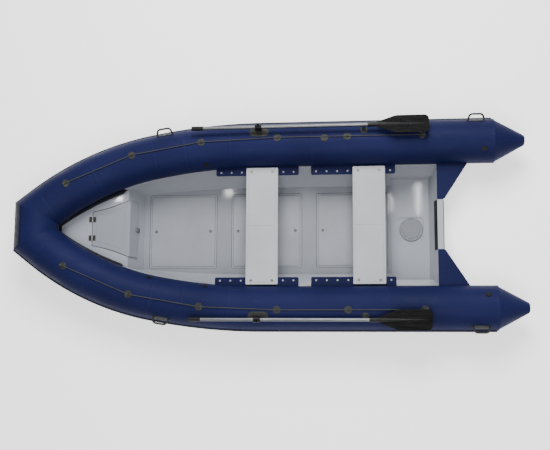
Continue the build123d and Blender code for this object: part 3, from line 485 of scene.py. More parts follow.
def moulded_board(name, colour, grime, grain):
    """Board with a fine moulded grain on its top."""
    board = Finish(name, Specular_IOR_Level=0.45)
    cloudy = board.noise(2.4, 4.0)
    worn = board.noise(16.0, 7.0)
    base = board.blend(board.ramp(cloudy, 0.3, 0.7), shade(colour, 0.94), shade(colour, 1.05))
    base = board.blend(board.ramp(worn, 0.58, 0.8) * 0.2, base, grime)
    roughness = board.ramp(worn, 0.3, 0.75, 0.3, 0.5)
    dots = board.ramp(board.cells(grain), 0.2, 0.45, 1.0, 0.0) * board.ramp(board.upward(), 0.8, 0.95)
    return board.done(base, roughness, board.bump(dots, 0.35, 0.0006, board.rounded(0.003)))


def rubber(name, colour, dust):
    """Dull rubber with dust in it."""
    soft = Finish(name, Specular_IOR_Level=0.2)
    dusty = soft.noise(26.0, 6.0)
    base = soft.blend(soft.ramp(dusty, 0.45, 0.85) * 0.2, shade(colour, 0.96), dust)
    roughness = soft.ramp(dusty, 0.3, 0.7, 0.45, 0.66)
    return soft.done(base, roughness, soft.bump(soft.noise(320.0, 2.0), 0.25, 0.0005, soft.rounded(0.002)))


def plastic(name, colour, gloss, scratch, sheen=0.25):
    """Moulded plastic with fine scratches."""
    hard = Finish(name, Specular_IOR_Level=sheen)
    rubbed = hard.noise(30.0, 7.0, (0.25, 1.0, 1.0))
    base = hard.blend(hard.ramp(rubbed, 0.6, 0.85) * 0.14, colour, scratch)
    roughness = hard.ramp(rubbed, 0.3, 0.75, gloss, gloss + 0.1)
    return hard.done(base, roughness, hard.bump(hard.noise(240.0, 2.0), 0.12, 0.0004, hard.rounded(0.002)))


def metal(name, colour, gloss, grain, highlight_band=None):
    """Bare metal, drawn or polished along one way, and lighter above a highlight band's two heights: a painted
    highlight.
    """
    bare = Finish(name, Metallic=1.0)
    drawn = bare.noise(60.0, 5.0, grain)
    spots = bare.noise(34.0, 5.0)
    base = bare.blend(bare.ramp(spots, 0.5, 0.8) * 0.5, shade(colour, 1.02), shade(colour, 0.78))
    # Painted highlight: a lighter colour from a height upwards
    if highlight_band:
        low, high, bright = highlight_band
        base = bare.blend(bare.ramp(bare.axis("Z"), low, high), base, bright)
    roughness = bare.ramp(drawn, 0.3, 0.7, gloss, gloss + 0.14)
    return bare.done(base, roughness, bare.bump(drawn, 0.05, 0.0003, bare.rounded(0.0015)))


def rope_fibre(name, colour, dirt):
    """Laid rope: hairy, darker where it is dirty."""
    lay = Finish(name, Specular_IOR_Level=0.2)
    dirty = lay.noise(11.0, 5.0)
    hairs = lay.noise(900.0, 2.0)
    base = lay.blend(lay.ramp(dirty, 0.4, 0.75) * 0.5, colour, dirt)
    base = lay.blend(hairs * 0.3, base, shade(colour, 0.6))
    return lay.done(base, lay.ramp(dirty, 0.3, 0.7, 0.75, 0.9), lay.bump(hairs, 0.4, 0.0004))


def dress(material, *names):
    """Give solids their finish."""
    for name in names:
        for held in NODES[name].material_slots:
            held.material = material


def both(name):
    """Names of a piece on each side."""
    return [f"{name}_{side}" for side, _ in SIDES]


class Weave(Graph):
    """A Geometry Nodes tree under construction, with named sizes."""

    def __init__(self, name, sizes):
        super().__init__(bpy.data.node_groups.new(name, "GeometryNodeTree"))
        face = self.tree.interface
        face.new_socket("Geometry", in_out="INPUT", socket_type="NodeSocketGeometry")
        for size, default in sizes.items():
            kind = "NodeSocketInt" if isinstance(default, int) else "NodeSocketFloat"
            face.new_socket(size, in_out="INPUT", socket_type=kind).default_value = default
        face.new_socket("Finish", in_out="INPUT", socket_type="NodeSocketMaterial")
        face.new_socket("Geometry", in_out="OUTPUT", socket_type="NodeSocketGeometry")
        self.given = self.tree.nodes.new("NodeGroupInput")

    def size(self, name):
        """One of the tree's own inputs."""
        return Wire(self.tree, self.given.outputs[name])

    def attribute(self, name, kind="FLOAT_VECTOR"):
        """A value kept on the points."""
        return self.node("GeometryNodeInputNamedAttribute", {"data_type": kind}, {"Name": name})

    def join(self, *parts):
        """Put several meshes together."""
        made = self.tree.nodes.new("GeometryNodeJoinGeometry")
        for part in parts:
            self.tree.links.new(part.socket, made.inputs[0])
        return Wire(self.tree, made.outputs[0])

    def smooth(self, mesh):
        """Shade a mesh smooth."""
        return self.node("GeometryNodeSetShadeSmooth", sockets={"Geometry": mesh, "Shade Smooth": True})

    def ball(self, segments, rings, reach, height):
        """Make a ball of one reach across, drawn out to a height along its own Z."""
        plain = self.node("GeometryNodeMeshUVSphere", sockets={"Segments": segments, "Rings": rings, "Radius": 1.0})
        spread = self.node("ShaderNodeCombineXYZ", sockets={0: reach, 1: reach, 2: height})
        return self.smooth(self.node("GeometryNodeTransform", sockets={"Geometry": plain, "Scale": spread}))

    def circle(self, segments, radius):
        """Make a round curve."""
        return self.node("GeometryNodeCurvePrimitiveCircle", sockets={"Resolution": segments, "Radius": radius})

    def route(self):
        """Turn the linked points into a curve of even steps."""
        curve = self.node("GeometryNodeMeshToCurve", sockets={"Mesh": self.size("Geometry")})
        sockets = {"Curve": curve, "Length": self.size("Step")}
        return self.node("GeometryNodeResampleCurve", {"mode": "LENGTH"}, sockets)

    def upright(self, curve):
        """Keep a curve's normals as near to upright as they go."""
        return self.node("GeometryNodeSetCurveNormal", {"mode": "Z_UP"}, {"Curve": curve})

    def sweep(self, curve, profile, scale=None):
        """Carry a profile along a curve, with its open ends closed."""
        sockets = {"Curve": curve, "Profile Curve": profile, "Scale": scale, "Fill Caps": True}
        return self.smooth(self.node("GeometryNodeCurveToMesh", sockets=sockets))

    def on_points(self, shape):
        """Set a shape on every point, its own Z along the point's heading."""
        heading = self.attribute("heading")
        turn = self.node("FunctionNodeAlignRotationToVector", {"axis": "Z"}, {"Vector": heading})
        sockets = {
            "Points": self.size("Geometry"),
            "Instance": shape,
            "Rotation": turn,
            "Scale": self.attribute("stretch"),
        }
        return self.node("GeometryNodeInstanceOnPoints", sockets=sockets)

    def close(self, result):
        """End the tree in plain geometry with its finish."""
        real = self.node("GeometryNodeRealizeInstances", sockets={"Geometry": result})
        done = self.node("GeometryNodeSetMaterial", sockets={"Geometry": real, "Material": self.size("Finish")})
        end = self.tree.nodes.new("NodeGroupOutput")
        connect(self.tree, end.inputs["Geometry"], done)
        return self.tree


def fastener_tree():
    """Domed heads on washers, one on each point."""
    weave = Weave("fasteners", {"Head Radius": 0.008, "Head Height": 0.004, "Washer Radius": 0.012})
    height = weave.size("Head Height")
    head = weave.ball(16, 8, weave.size("Head Radius"), height)
    sockets = {"Vertices": 20, "Radius": weave.size("Washer Radius"), "Depth": height * WASHER_DEPTH}
    washer = weave.node("GeometryNodeMeshCylinder", sockets=sockets)
    return weave.close(weave.on_points(weave.join(head, washer)))


def ring_tree():
    """Rounded bands, one round each point."""
    weave = Weave("rings", {"Radius": 0.2, "Band Width": 0.04, "Band Height": 0.002, "Segments": 64})
    loop = weave.upright(weave.circle(weave.size("Segments"), weave.size("Radius")))
    height = weave.size("Band Height")
    sockets = {"Width": height, "Height": weave.size("Band Width")}
    band = weave.node("GeometryNodeCurvePrimitiveQuadrilateral", sockets=sockets)
    sockets = {"Curve": band, "Radius": height * BAND_ROUNDING, "Count": 2}
    band = weave.node("GeometryNodeFilletCurve", {"mode": "POLY"}, sockets)
    return weave.close(weave.on_points(weave.sweep(loop, band)))


def rib_tree():
    """Tapered ribs, one along each point's heading."""
    weave = Weave("ribs", {"Rib Radius": 0.0025, "Rib Length": 0.16})
    rib = weave.ball(10, 14, weave.size("Rib Radius"), weave.size("Rib Length") * 0.5)
    return weave.close(weave.on_points(rib))


def bead_tree():
    """Rounded bead along a route, as flat as asked and as wide as the points' stretch says."""
    weave = Weave("bead", {"Bead Radius": 0.012, "Flatness": 1.0, "Step": 0.02})
    line = weave.upright(weave.route())
    squash = weave.node("ShaderNodeCombineXYZ", sockets={0: 1.0, 1: weave.size("Flatness"), 2: 1.0})
    profile = weave.circle(14, weave.size("Bead Radius"))
    profile = weave.node("GeometryNodeTransform", sockets={"Geometry": profile, "Scale": squash})
    width = weave.node("ShaderNodeSeparateXYZ", sockets={0: weave.attribute("stretch")})
    return weave.close(weave.sweep(line, profile, width))


def rope_tree():
    """Three strands laid round a route, with a stopper at each end."""
    sizes = {"Strand Radius": 0.0028, "Lay Radius": 0.0028, "Lay Length": 0.05, "Step": 0.006, "Stopper Radius": 0.011}
    weave = Weave("laid_rope", sizes)
    line = weave.route()
    travelled = weave.node("GeometryNodeSplineParameter", out="Length")
    normal = weave.node("GeometryNodeInputNormal")
    tangent = weave.node("GeometryNodeInputTangent")
    across = weave.node("ShaderNodeVectorMath", {"operation": "CROSS_PRODUCT"}, {0: tangent, 1: normal})
    profile = weave.circle(8, weave.size("Strand Radius"))
    reach = weave.size("Lay Radius")
    strands = []
    for start in range(STRANDS):
        angle = travelled * math.tau / weave.size("Lay Length") + start * math.tau / STRANDS
        first = weave.node("ShaderNodeVectorMath", {"operation": "SCALE"}, {0: normal, "Scale": angle.cosine() * reach})
        second = weave.node("ShaderNodeVectorMath", {"operation": "SCALE"}, {0: across, "Scale": angle.sine() * reach})
        offset = weave.node("ShaderNodeVectorMath", {"operation": "ADD"}, {0: first, 1: second})
        laid = weave.node("GeometryNodeSetPosition", sockets={"Geometry": line, "Offset": offset})
        strands.append(weave.sweep(laid, profile))
    radius = weave.size("Stopper Radius")
    ends = weave.node("GeometryNodeCurveEndpointSelection")
    sockets = {"Points": line, "Selection": ends, "Instance": weave.ball(16, 10, radius, radius)}
    stoppers = weave.node("GeometryNodeInstanceOnPoints", sockets=sockets)
    return weave.close(weave.join(*strands, stoppers))


def at(place, heading, stretch=(1, 1, 1)):
    """A point with its heading and stretch."""
    return Vector(place), Vector(heading), Vector(stretch)


def chain(first, count, closed=False):
    """Links from each of a run of points to the next, and from the last to the first where it is closed."""
    links = [(place, place + 1) for place in range(first, first + count - 1)]
    return links + [(first + count - 1, first)] if closed else links


def grow(name, tree, points, finish, body, slot, links=(), **sizes):
    """Run a tree on points, keep the plain mesh and let it ride on its body."""
    seed = bpy.data.meshes.new(name + "_points")
    seed.from_pydata([place for place, _, _ in points], links, [])
    for label, part in (("heading", 1), ("stretch", 2)):
        kept = seed.attributes.new(label, "FLOAT_VECTOR", "POINT")
        kept.data.foreach_set("vector", [value for point in points for value in point[part]])
    piece = bpy.data.objects.new(name, seed)
    bpy.context.scene.collection.objects.link(piece)
    grown = piece.modifiers.new("Make", "NODES")
    grown.node_group = tree
    given = {"finish": finish, **sizes}
    for item in tree.interface.items_tree:
        key = item.name.lower().replace(" ", "_")
        if item.in_out == "INPUT" and key in given:
            grown[item.identifier] = given[key]
    graph = bpy.context.evaluated_depsgraph_get()
    made = bpy.data.meshes.new_from_object(piece.evaluated_get(graph), depsgraph=graph)
    piece.modifiers.remove(grown)
    piece.data = made
    if not made.polygons:
        raise RuntimeError(f"{name} came out empty")
    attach(piece, body)
    return piece


def set_heads(name, points, steel, body, radius, height, washer=1.0):
    """Set a domed steel head on each point, on a washer so many times as wide."""
    sizes = {"head_radius": radius, "head_height": height, "washer_radius": radius * washer}
    grow(name, fastener_tree(), points, steel, body, "stainless_steel", **sizes)


def set_bands(name, points, finish, body, slot, radius, band):
    """Set a ring on each point from a band's width, height and segments."""
    width, height, segments = band
    sizes = {"radius": radius, "band_width": width, "band_height": height, "segments": segments}
    grow(name, ring_tree(), points, finish, body, slot, **sizes)


def run_bead(name, points, links, finish, slot, radius, step, flatness=1.0):
    """Run a bead along linked points on the boat."""
    sizes = {"bead_radius": radius, "flatness": flatness, "step": step}
    grow(name, bead_tree(), points, finish, "boat", slot, links, **sizes)


def tint(**facts):
    """A colour in the sidebar."""
    return FloatVectorProperty(subtype="COLOR", min=0, max=1, **facts)


def span(**facts):
    """A length in the sidebar."""
    return FloatProperty(unit="LENGTH", **facts)


def watts(**facts):
    """A light's power in the sidebar."""
    return FloatProperty(unit="POWER", **facts)


class BoatColours(bpy.types.PropertyGroup):
    """Colours of the boat's finishes."""

    collar: tint(name="Collar", description="Coated cloth of the tubes", default=(0.0085, 0.0112, 0.054))
    strake: tint(name="Strake", description="Rubbing strake and deck trim", default=(0.012, 0.014, 0.03))
    shell: tint(name="Shell", description="Hull, sides, deck and floor", default=(0.305, 0.32, 0.36))
    board: tint(name="Seat boards", description="Both seat boards", default=(0.395, 0.41, 0.43))
    panel: tint(name="Floor panels", description="Panels in the floor", default=(0.243, 0.254, 0.283))
    black: tint(name="Black parts", description="Blades, grips, valves and pads", default=(0.006, 0.006, 0.007))
    patch: tint(name="Patches", description="Lifeline patches and rowlock pads", default=(0.024, 0.026, 0.023))
    rope: tint(name="Lifeline", description="Laid rope", default=(0.058, 0.06, 0.064))
    steel: tint(name="Steel", description="Hinges, eyes and fasteners", default=(0.6, 0.6, 0.6))
    shaft: tint(name="Oar shafts", description="Aluminium tube", default=(0.135, 0.139, 0.147))


class BoatSizes(bpy.types.PropertyGroup):
    """Sizes of the small work."""

    seam_width: span(name="Seam width", description="Width of the bands over the tube seams", default=0.03)
    seam_height: span(name="Seam height", description="How far the bands stand proud", default=0.001)
    rope_lay: span(name="Rope lay", description="Length of one turn of a strand", default=0.045)
    eyelet: span(name="Eyelet", description="Radius of the rail eyelets", default=0.0062)
    bolt: span(name="Seat bolt", description="Radius of the seat bolts' heads", default=0.0095)
    screw: span(name="Screw", description="Radius of the small screws' heads", default=0.0042)
    grip_rings: IntProperty(name="Grip rings", description="Rings moulded on each grip", default=8, min=0, max=20)


class BoatStudio(bpy.types.PropertyGroup):
    """Light and floor of the studio."""

    key: watts(name="Key light", description="Power of the large light on the starboard side", default=1080)
    side: watts(name="Port light", description="Power of the soft light on the port side", default=430)
    lamp: watts(name="Ceiling lamps", description="Power of each small lamp that glints in the shell", default=6)
    fill: FloatProperty(name="Fill", description="Strength of the even light all round", default=0.3)
    ground: tint(name="Floor", description="Pale floor at the waterline", default=(0.95, 0.95, 0.95))


def settings(context):
    """The sidebar's colours and sizes."""
    return context.scene.boat_colours, context.scene.boat_sizes


class BOAT_OT_collar(bpy.types.Operator):
    """Finish the inflated tubes, their seam bands and the rubbing strake."""

    bl_idname = "boat.collar"
    bl_label = "Collar"

    def execute(self, context):
        colours, sizes = settings(context)
        cloth = tube_fabric("tube_cloth", colours.collar)
        tape = tube_fabric("seam_cloth", shade(colours.collar, 1.06))
        dress(cloth, "tube_bow", *both("tube_aft"), *both("tube_forward"), *both("cone"))
        seams = [at(*tube_axis(distance, side)) for _, side in SIDES for distance in SEAMS]
        band = (sizes.seam_width, sizes.seam_height, SEAM_SEGMENTS)
        set_bands("seam_bands", seams, tape, "boat", "tube_fabric", TUBE_RADIUS, band)
        strake = rubber("strake_rubber_finish", colours.strake, (0.16, 0.17, 0.2, 1))
        dress(strake, "rub_strake_bow", *both("rub_strake"))
        return {"FINISHED"}


class BOAT_OT_shell(bpy.types.Operator):
    """Finish the moulded shell: hull, sides, transom, floor and bow."""

    bl_idname = "boat.shell"
    bl_label = "Shell"

    def execute(self, context):
        colour = context.scene.boat_colours.shell
        grime = shade(colour, 0.6)
        # The hull and floor get darker copies of the shell colour, painted shade, and the transom a lighter one,
        # painted light
        inside = gelcoat("inside_gelcoat", colour, grime, round_edges=0.008)
        shaded_outside = gelcoat("hull_gelcoat", shade(colour, 0.9), grime, round_edges=0.006, tide=(0.3, 0.28, 0.22, 1))
        dress(inside, "bow_locker", "bow_deck", *both("side_moulding"))
        dress(gelcoat("floor_gelcoat", shade(colour, 0.73), grime, round_edges=0.006), "floor")
        dress(gelcoat("transom_gelcoat", shade(colour, 1.22), grime, round_edges=0.006), "transom")
        dress(shaded_outside, "hull")
        return {"FINISHED"}


class BOAT_OT_floor(bpy.types.Operator):
    """Finish the floor panels, the inspection plate and the drain plugs, with their seals, rings and screws."""

    bl_idname = "boat.floor"
    bl_label = "Floor"

    def execute(self, context):
        colours, sizes = settings(context)
        dress(moulded_board("panel_board_finish", colours.panel, shade(colours.panel, 0.62), grain=130.0), *PANELS)
        plate = plastic("plate_plastic_finish", shade(colours.panel, 0.75), 0.3, shade(colours.panel, 0.6))
        dress(plate, "inspection_plate")
        dress(plastic("plug_plastic", shade(colours.black), 0.3, (0.1, 0.1, 0.1, 1)), "drain_plugs")
        steel = metal("screw_steel", shade(colours.steel, 0.5), 0.3, EVEN_GRAIN)
        seal = rubber("seal_rubber", (0.045, 0.045, 0.05, 1), (0.12, 0.12, 0.12, 1))
        pull = rubber("pull_rubber", (0.09, 0.09, 0.096, 1), (0.16, 0.16, 0.16, 1))
        screws, outline, links, pulls = [], [], [], []
        border = Vector((PANEL_BORDER, PANEL_BORDER, 0))
        for name in PANELS:
            low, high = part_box(name)
            for route, share in (
                (panel_edge(low, high, PANEL_SEAL_SINK), 1),
                # Inner route: a dark line inside the edge, painted shade of a moulded line
                (panel_edge(low + border, high - border, PANEL_SHADE_LINE_SINK), PANEL_SHADE_LINE_SHARE),
            ):
                links += chain(len(outline), len(route), closed=True)
                outline += [at(place, UP, (share, share, share)) for place in route]
            pulls += [at((x, 0, high.z - PULL_SINK), UP) for x in (low.x + PULL_INSET, high.x - PULL_INSET)]
            screws += [
                at((x, y, high.z - PANEL_SCREW_SINK), UP)
                for x in (low.x + PANEL_SCREW_INSET, (low.x + high.x) / 2, high.x - PANEL_SCREW_INSET)
                for y in (low.y + PANEL_SCREW_INSET, high.y - PANEL_SCREW_INSET)
            ]
        low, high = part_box("inspection_plate")
        middle, edge = (low + high) / 2, (high.x - low.x) / 2
        ring = [at((middle.x, middle.y, low.z + PLATE_SEAL_RISE), UP)]
        reach = edge - PLATE_SCREW_INSET
        for count in range(PLATE_SCREWS):
            turn = math.tau * (count + 0.5) / PLATE_SCREWS
            x, y = middle.x + reach * math.cos(turn), middle.y + reach * math.sin(turn)
            screws.append(at((x, y, low.z + PLATE_SCREW_RISE), UP))
        set_bands("panel_pulls", pulls, pull, "boat", "patch_rubber", PULL_RADIUS, PULL_BAND)
        run_bead("panel_seals", outline, links, seal, "patch_rubber", PANEL_SEAL_RADIUS, SEAL_STEP)
        set_bands("plate_seal", ring, seal, "boat", "patch_rubber", edge, PLATE_SEAL_BAND)
        set_heads("floor_screws", screws, steel, "boat", sizes.screw, FLOOR_SCREW_HEIGHT, SCREW_WASHER)
        return {"FINISHED"}


class BOAT_OT_locker(bpy.types.Operator):
    """Finish the locker lid, its hinges and latch, lay the trim and the lid's seal, and screw the hinges down."""

    bl_idname = "boat.locker"
    bl_label = "Bow locker"

    def execute(self, context):
        colours, sizes = settings(context)
        # The lid gets a darker copy of the shell colour: painted shade
        lid = gelcoat("lid_gelcoat_finish", shade(colours.shell, 0.78), shade(colours.shell, 0.6), round_edges=0.006)
        dress(lid, "locker_lid")
        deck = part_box("bow_deck")[1].z
        # Painted highlight along the tops of the hinge barrels
        barrel_highlight = (deck + BARREL_HIGHLIGHT_RISE[0], deck + BARREL_HIGHLIGHT_RISE[1], shade(colours.steel, 0.9))
        steel = metal("hinge_steel", shade(colours.steel, 0.12), 0.3, (1.0, 8.0, 1.0), highlight_band=barrel_highlight)
        dress(steel, "deck_hinges", "lid_hinges")
        dress(plastic("latch_plastic", (0.022, 0.022, 0.024, 1), 0.3, (0.12, 0.12, 0.12, 1)), "latch_keeper")
        dress(plastic("latch_grey_plastic", (0.13, 0.13, 0.135, 1), 0.3, (0.2, 0.2, 0.2, 1)), "lid_latch")
        # Painted shadow: the dark trim stands in for the shadow in the groove beside the tubes
        shadow_edging = rubber("deck_trim_rubber", shade(colours.strake, 0.4), (0.025, 0.026, 0.035, 1))
        route = deck_edge()
        links = chain(0, len(route))
        run_bead("deck_trim", route, links, shadow_edging, "strake_rubber", TRIM_HALF_WIDTH, TRIM_STEP, TRIM_FLATNESS)
        seal = rubber("lid_seal_rubber", (0.03, 0.03, 0.033, 1), (0.1, 0.1, 0.1, 1))
        route = [at(place, UP) for place in lid_edge()]
        run_bead("lid_seal", route, chain(0, len(route)), seal, "patch_rubber", LID_SEAL_RADIUS, SEAL_STEP)
        for node, body, ahead in (("deck_hinges", "boat", 1), ("lid_hinges", "lid", -1)):
            low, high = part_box(node)
            x = (high.x if ahead > 0 else low.x) - ahead * HINGE_SCREW_INSET
            spread = high.y - HINGE_MIDDLE_INSET
            screws = [
                at((x, row + offset, low.z + HINGE_SCREW_RISE), UP)
                for row in (-spread, spread)
                for offset in (-HINGE_SCREW_SPREAD, HINGE_SCREW_SPREAD)
            ]
            set_heads(f"{node}_screws", screws, steel, body, sizes.screw, HINGE_SCREW_HEIGHT)
        return {"FINISHED"}


class BOAT_OT_seats(bpy.types.Operator):
    """Finish the seat boards and rails, and set the eyelets and bolts."""

    bl_idname = "boat.seats"
    bl_label = "Seats"

    def execute(self, context):
        colours, sizes = settings(context)
        board = moulded_board("seat_board_finish", colours.board, shade(colours.board, 0.7), grain=240.0)
        dress(board, "seat_forward", "seat_aft")
        # The rails get a darker copy of the tube cloth: painted shade
        dress(tube_fabric("rail_cloth", shade(colours.collar, 0.75)), *both("seat_rails"))
        white = plastic("eyelet_plastic", (0.4, 0.4, 0.4, 1), 0.3, (0.33, 0.33, 0.32, 1))
        rail_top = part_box("seat_rails_port")[1].z
        eyelets = [
            at((middle + RAIL_PITCH * (hole - (RAIL_HOLES - 1) / 2), side * RAIL_HOLE_Y, rail_top), UP)
            for middle in RAIL_MIDDLES
            for hole in range(RAIL_HOLES)
            for _, side in SIDES
        ]
        set_bands("rail_eyelets", eyelets, white, "boat", "plate_plastic", sizes.eyelet, EYELET_BAND)
        steel = metal("bolt_steel", shade(colours.steel, 0.4), 0.3, EVEN_GRAIN)
        seat_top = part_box("seat_aft")[1].z
        bolts = [
            at((middle + RAIL_PITCH * hole, side * RAIL_HOLE_Y, seat_top), UP)
            for middle, holes in zip(RAIL_MIDDLES, SEAT_BOLT_HOLES)
            for hole in holes
            for _, side in SIDES
        ]
        set_heads("seat_bolts", bolts, steel, "boat", sizes.bolt, SEAT_BOLT_HEIGHT, BOLT_WASHER)
        return {"FINISHED"}


class BOAT_OT_lifelines(bpy.types.Operator):
    """Lay the lifelines and finish the patches that hold them."""

    bl_idname = "boat.lifelines"
    bl_label = "Lifelines"

    def execute(self, context):
        colours, sizes = settings(context)
        dress(rubber("patch_rubber_finish", colours.patch, (0.24, 0.24, 0.23, 1)), *both("lifeline_patches"))
        fibre = rope_fibre("lifeline_fibre", shade(colours.rope), shade(colours.rope, 0.7))
        tree = rope_tree()
        for name, side in SIDES:
            stops = []
            for distance in reversed(ROPE_STOPS):
                place, _, outwards = tube_skin(distance, PATCH_LEAN, side)
                stops.append(place + outwards * ROPE_RISE)
            behind = (stops[0] - stops[1]).normalized()
            ahead = (stops[-1] - stops[-2]).normalized()
            stops[0] = stops[0] + behind * ROPE_END
            stops[-1] = stops[-1] + ahead * ROPE_END
            line = grow(
                f"laid_lifeline_{name}",
                tree,
                [at(stop, UP) for stop in stops],
                fibre,
                "boat",
                "rope",
                chain(0, len(stops)),
                strand_radius=STRAND_RADIUS,
                lay_radius=LAY_RADIUS,
                lay_length=sizes.rope_lay,
                step=ROPE_STEP,
                stopper_radius=STOPPER_RADIUS,
            )
            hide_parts(f"lifeline_{name}")
        return {"FINISHED"}


class BOAT_OT_tube_fittings(bpy.types.Operator):
    """Finish the carrying handles and the inflation valves."""

    bl_idname = "boat.tube_fittings"
    bl_label = "Handles and valves"

    def execute(self, context):
        black = shade(context.scene.boat_colours.black, 1.3)
        dress(rubber("handle_rubber_finish", (0.018, 0.019, 0.023, 1), (0.1, 0.1, 0.11, 1)), *both("handles"))
        dress(plastic("valve_plastic", black, 0.3, (0.12, 0.12, 0.12, 1)), "bow_valve", *both("valves"))
        return {"FINISHED"}


class BOAT_OT_transom_gear(bpy.types.Operator):
    """Finish the motor pads, webs and eyes, and bolt the pads and eyes down."""

    bl_idname = "boat.transom_gear"
    bl_label = "Transom fittings"

    def execute(self, context):
        colours, sizes = settings(context)
        dress(tube_fabric("web_cloth", shade(colours.collar, 0.9)), *both("transom_gusset"))
        black = plastic("pad_plastic", shade(colours.black, 0.8), 0.42, (0.05, 0.05, 0.05, 1), sheen=0.1)
        dress(black, "motor_pad_inner", "motor_pad_outer")
        steel = metal("eye_steel", colours.steel, 0.16, EVEN_GRAIN)
        dress(steel, "bow_eye", "stern_eyes")
        low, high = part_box("motor_pad_outer")
        across, up = PAD_BOLT_INSET
        bolts = [
            at((low.x, y, z), AFT)
            for y in (low.y + across, low.y / 3, high.y / 3, high.y - across)
            for z in (low.z + up, high.z - up)
        ]
        plate_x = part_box("stern_eyes")[1].x - EYE_PLATE
        eye_y, eye_z = EYE_PLACE
        across, up = EYE_SCREW_REACH
        bolts += [
            at((plate_x, side * y, z), AFT)
            for _, side in SIDES
            for y in (eye_y - across, eye_y + across)
            for z in (eye_z - up, eye_z + up)
        ]
        set_heads("transom_bolts", bolts, steel, "boat", sizes.screw, TRANSOM_BOLT_HEIGHT, SCREW_WASHER)
        return {"FINISHED"}


class BOAT_OT_oars(bpy.types.Operator):
    """Finish the oars, rowlocks and rests, rib the rowlocks' pads and ring the grips."""

    bl_idname = "boat.oars"
    bl_label = "Oars"

    def execute(self, context):
        colours, sizes = settings(context)
        dress(metal("shaft_aluminium", colours.shaft, 0.34, (0.2, 6.0, 6.0)), *both("oar_shaft"))
        grip = rubber("grip_rubber", shade(colours.black, 1.5), (0.09, 0.09, 0.09, 1))
        dress(grip, *both("oar_grip"))
        blade = plastic("blade_plastic", shade(colours.black, 0.7), 0.24, (0.05, 0.045, 0.04, 1), sheen=0.14)
        dress(blade, *both("oar_blade"), *both("oar_collar"))
        pad = rubber("rowlock_rubber", shade(colours.patch, 1.15), (0.24, 0.24, 0.23, 1))
        dress(pad, *both("rowlock"), *both("oar_rest"))
        ribs = []
        for _, side in SIDES:
            for count in PAD_RIBS:
                offset = count * PAD_RIB_PITCH
                half = PAD_LENGTH / 2 - PAD_WIDTH / 2 + math.sqrt((PAD_WIDTH / 2) ** 2 - offset**2)
                foot, along, outwards = tube_skin(ROWLOCK_AT, ROWLOCK_LEAN + offset / TUBE_RADIUS, side)
                ribs.append(at(foot + outwards * PAD_HEIGHT, along, (1, 1, 2 * half / PAD_LENGTH)))
        rib = {"rib_radius": PAD_RIB_RADIUS, "rib_length": PAD_RIB_LENGTH}
        grow("rowlock_ribs", rib_tree(), ribs, pad, "boat", "patch_rubber", **rib)
        pitch = GRIP_LENGTH / (sizes.grip_rings + 1)
        for name, side in SIDES:
            foot, along, outwards = tube_skin(ROWLOCK_AT, ROWLOCK_LEAN, side)
            start = foot + outwards * OAR_RISE + along * (GRIP_END - GRIP_LENGTH)
            rings = [at(start + along * pitch * (count + 1), along) for count in range(sizes.grip_rings)]
            body = f"oar_{name}"
            set_bands(f"grip_rings_{name}", rings, grip, body, "black_plastic", GRIP_RING_RADIUS, GRIP_RING_BAND)
        return {"FINISHED"}


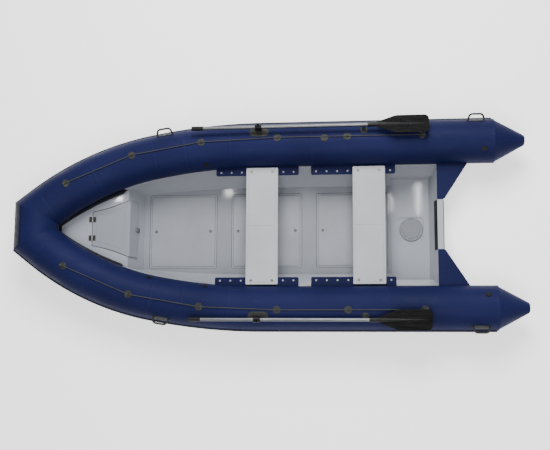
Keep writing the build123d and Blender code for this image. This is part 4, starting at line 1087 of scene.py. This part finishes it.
class BOAT_OT_stage(bpy.types.Operator):
    """Lay the pale floor at the waterline, hang the lights and set the camera."""

    bl_idname = "boat.stage"
    bl_label = "Studio"

    def execute(self, context):
        studio = context.scene.boat_studio
        link = context.scene.collection.objects.link
        inner = [*WATERLINE, *((x, -half) for x, half in reversed(WATERLINE))]
        rays = [math.atan2(y, x - FLOOR_MIDDLE) for x, y in inner]
        outer = [(FLOOR_RADIUS * math.cos(ray), FLOOR_RADIUS * math.sin(ray)) for ray in rays]
        count = len(inner)
        faces = [(place, (place + 1) % count, count + (place + 1) % count, count + place) for place in range(count)]
        ground = bpy.data.meshes.new("studio_floor")
        ground.from_pydata([(x, y, 0) for x, y in inner + outer], [], faces)
        ground.update()
        floor = bpy.data.objects.new("studio_floor", ground)
        link(floor)
        pale = Finish("studio_floor", Roughness=0.8, Specular_IOR_Level=0.1, Emission_Strength=1.0)
        pale.put("Base Color", shade(studio.ground))
        pale.put("Emission Color", (1, 1, 1, 1))
        ground.materials.append(pale.material)

        world = bpy.data.worlds.new("studio")
        world.use_nodes = True
        sky = world.node_tree.nodes["Background"]
        sky.inputs["Color"].default_value = (1, 1, 1, 1)
        sky.inputs["Strength"].default_value = studio.fill
        context.scene.world = world

        lights = [
            (name, getattr(studio, power), (size, size), place, LIGHT_TARGET)
            for name, power, size, place in SOFT_LIGHTS
        ]
        lights += [
            (name, studio.lamp * share, (long, wide), (x, y, LAMP_HEIGHT), (x, y, 0))
            for name, x, y, long, wide, share in CEILING_LAMPS
        ]
        for name, power, size, place, target in lights:
            lamp = bpy.data.lights.new(name, "AREA")
            lamp.energy = power
            lamp.shape = "RECTANGLE"
            lamp.size, lamp.size_y = size
            holder = bpy.data.objects.new(name, lamp)
            link(holder)
            holder.location = place
            holder.rotation_euler = (Vector(target) - Vector(place)).to_track_quat("-Z", "Y").to_euler()

        lens = bpy.data.cameras.new("camera")
        lens.sensor_fit = "HORIZONTAL"
        lens.sensor_width = SENSOR_WIDTH
        lens.lens = SENSOR_WIDTH * FOCAL_PIXELS / IMAGE_WIDTH
        camera = bpy.data.objects.new("camera", lens)
        link(camera)
        up = -CAMERA_DOWN
        turn = Matrix((CAMERA_RIGHT, up, CAMERA_RIGHT.cross(up))).transposed()
        camera.matrix_world = Matrix.Translation(CAMERA_PLACE) @ turn.to_4x4()
        context.scene.camera = camera
        return {"FINISHED"}


class BOAT_PT_sidebar(bpy.types.Panel):
    """Lists the steps that finish the boat."""

    bl_label = "Boat"
    bl_idname = "BOAT_PT_sidebar"
    bl_space_type = "VIEW_3D"
    bl_region_type = "UI"
    bl_category = "Boat"

    def draw(self, context):
        for step in STEPS:
            self.layout.operator(step.bl_idname)
        for group in (context.scene.boat_colours, context.scene.boat_sizes, context.scene.boat_studio):
            box = self.layout.box()
            for name in group.__annotations__:
                box.prop(group, name)


STEPS = (
    BOAT_OT_collar,
    BOAT_OT_shell,
    BOAT_OT_floor,
    BOAT_OT_locker,
    BOAT_OT_seats,
    BOAT_OT_lifelines,
    BOAT_OT_tube_fittings,
    BOAT_OT_transom_gear,
    BOAT_OT_oars,
    BOAT_OT_stage,
)
GROUPS = (("boat_colours", BoatColours), ("boat_sizes", BoatSizes), ("boat_studio", BoatStudio))


def register():
    for name, group in GROUPS:
        bpy.utils.register_class(group)
        setattr(bpy.types.Scene, name, PointerProperty(type=group))
    for made in (*STEPS, BOAT_PT_sidebar):
        bpy.utils.register_class(made)


def unregister():
    for made in (BOAT_PT_sidebar, *reversed(STEPS)):
        bpy.utils.unregister_class(made)
    for name, group in reversed(GROUPS):
        delattr(bpy.types.Scene, name)
        bpy.utils.unregister_class(group)


def main():
    """Finish the whole boat."""
    register()
    bpy.ops.boat.collar()
    bpy.ops.boat.shell()
    bpy.ops.boat.floor()
    bpy.ops.boat.locker()
    bpy.ops.boat.seats()
    bpy.ops.boat.lifelines()
    bpy.ops.boat.tube_fittings()
    bpy.ops.boat.transom_gear()
    bpy.ops.boat.oars()
    bpy.ops.boat.stage()


if __name__ == "__main__":
    main()
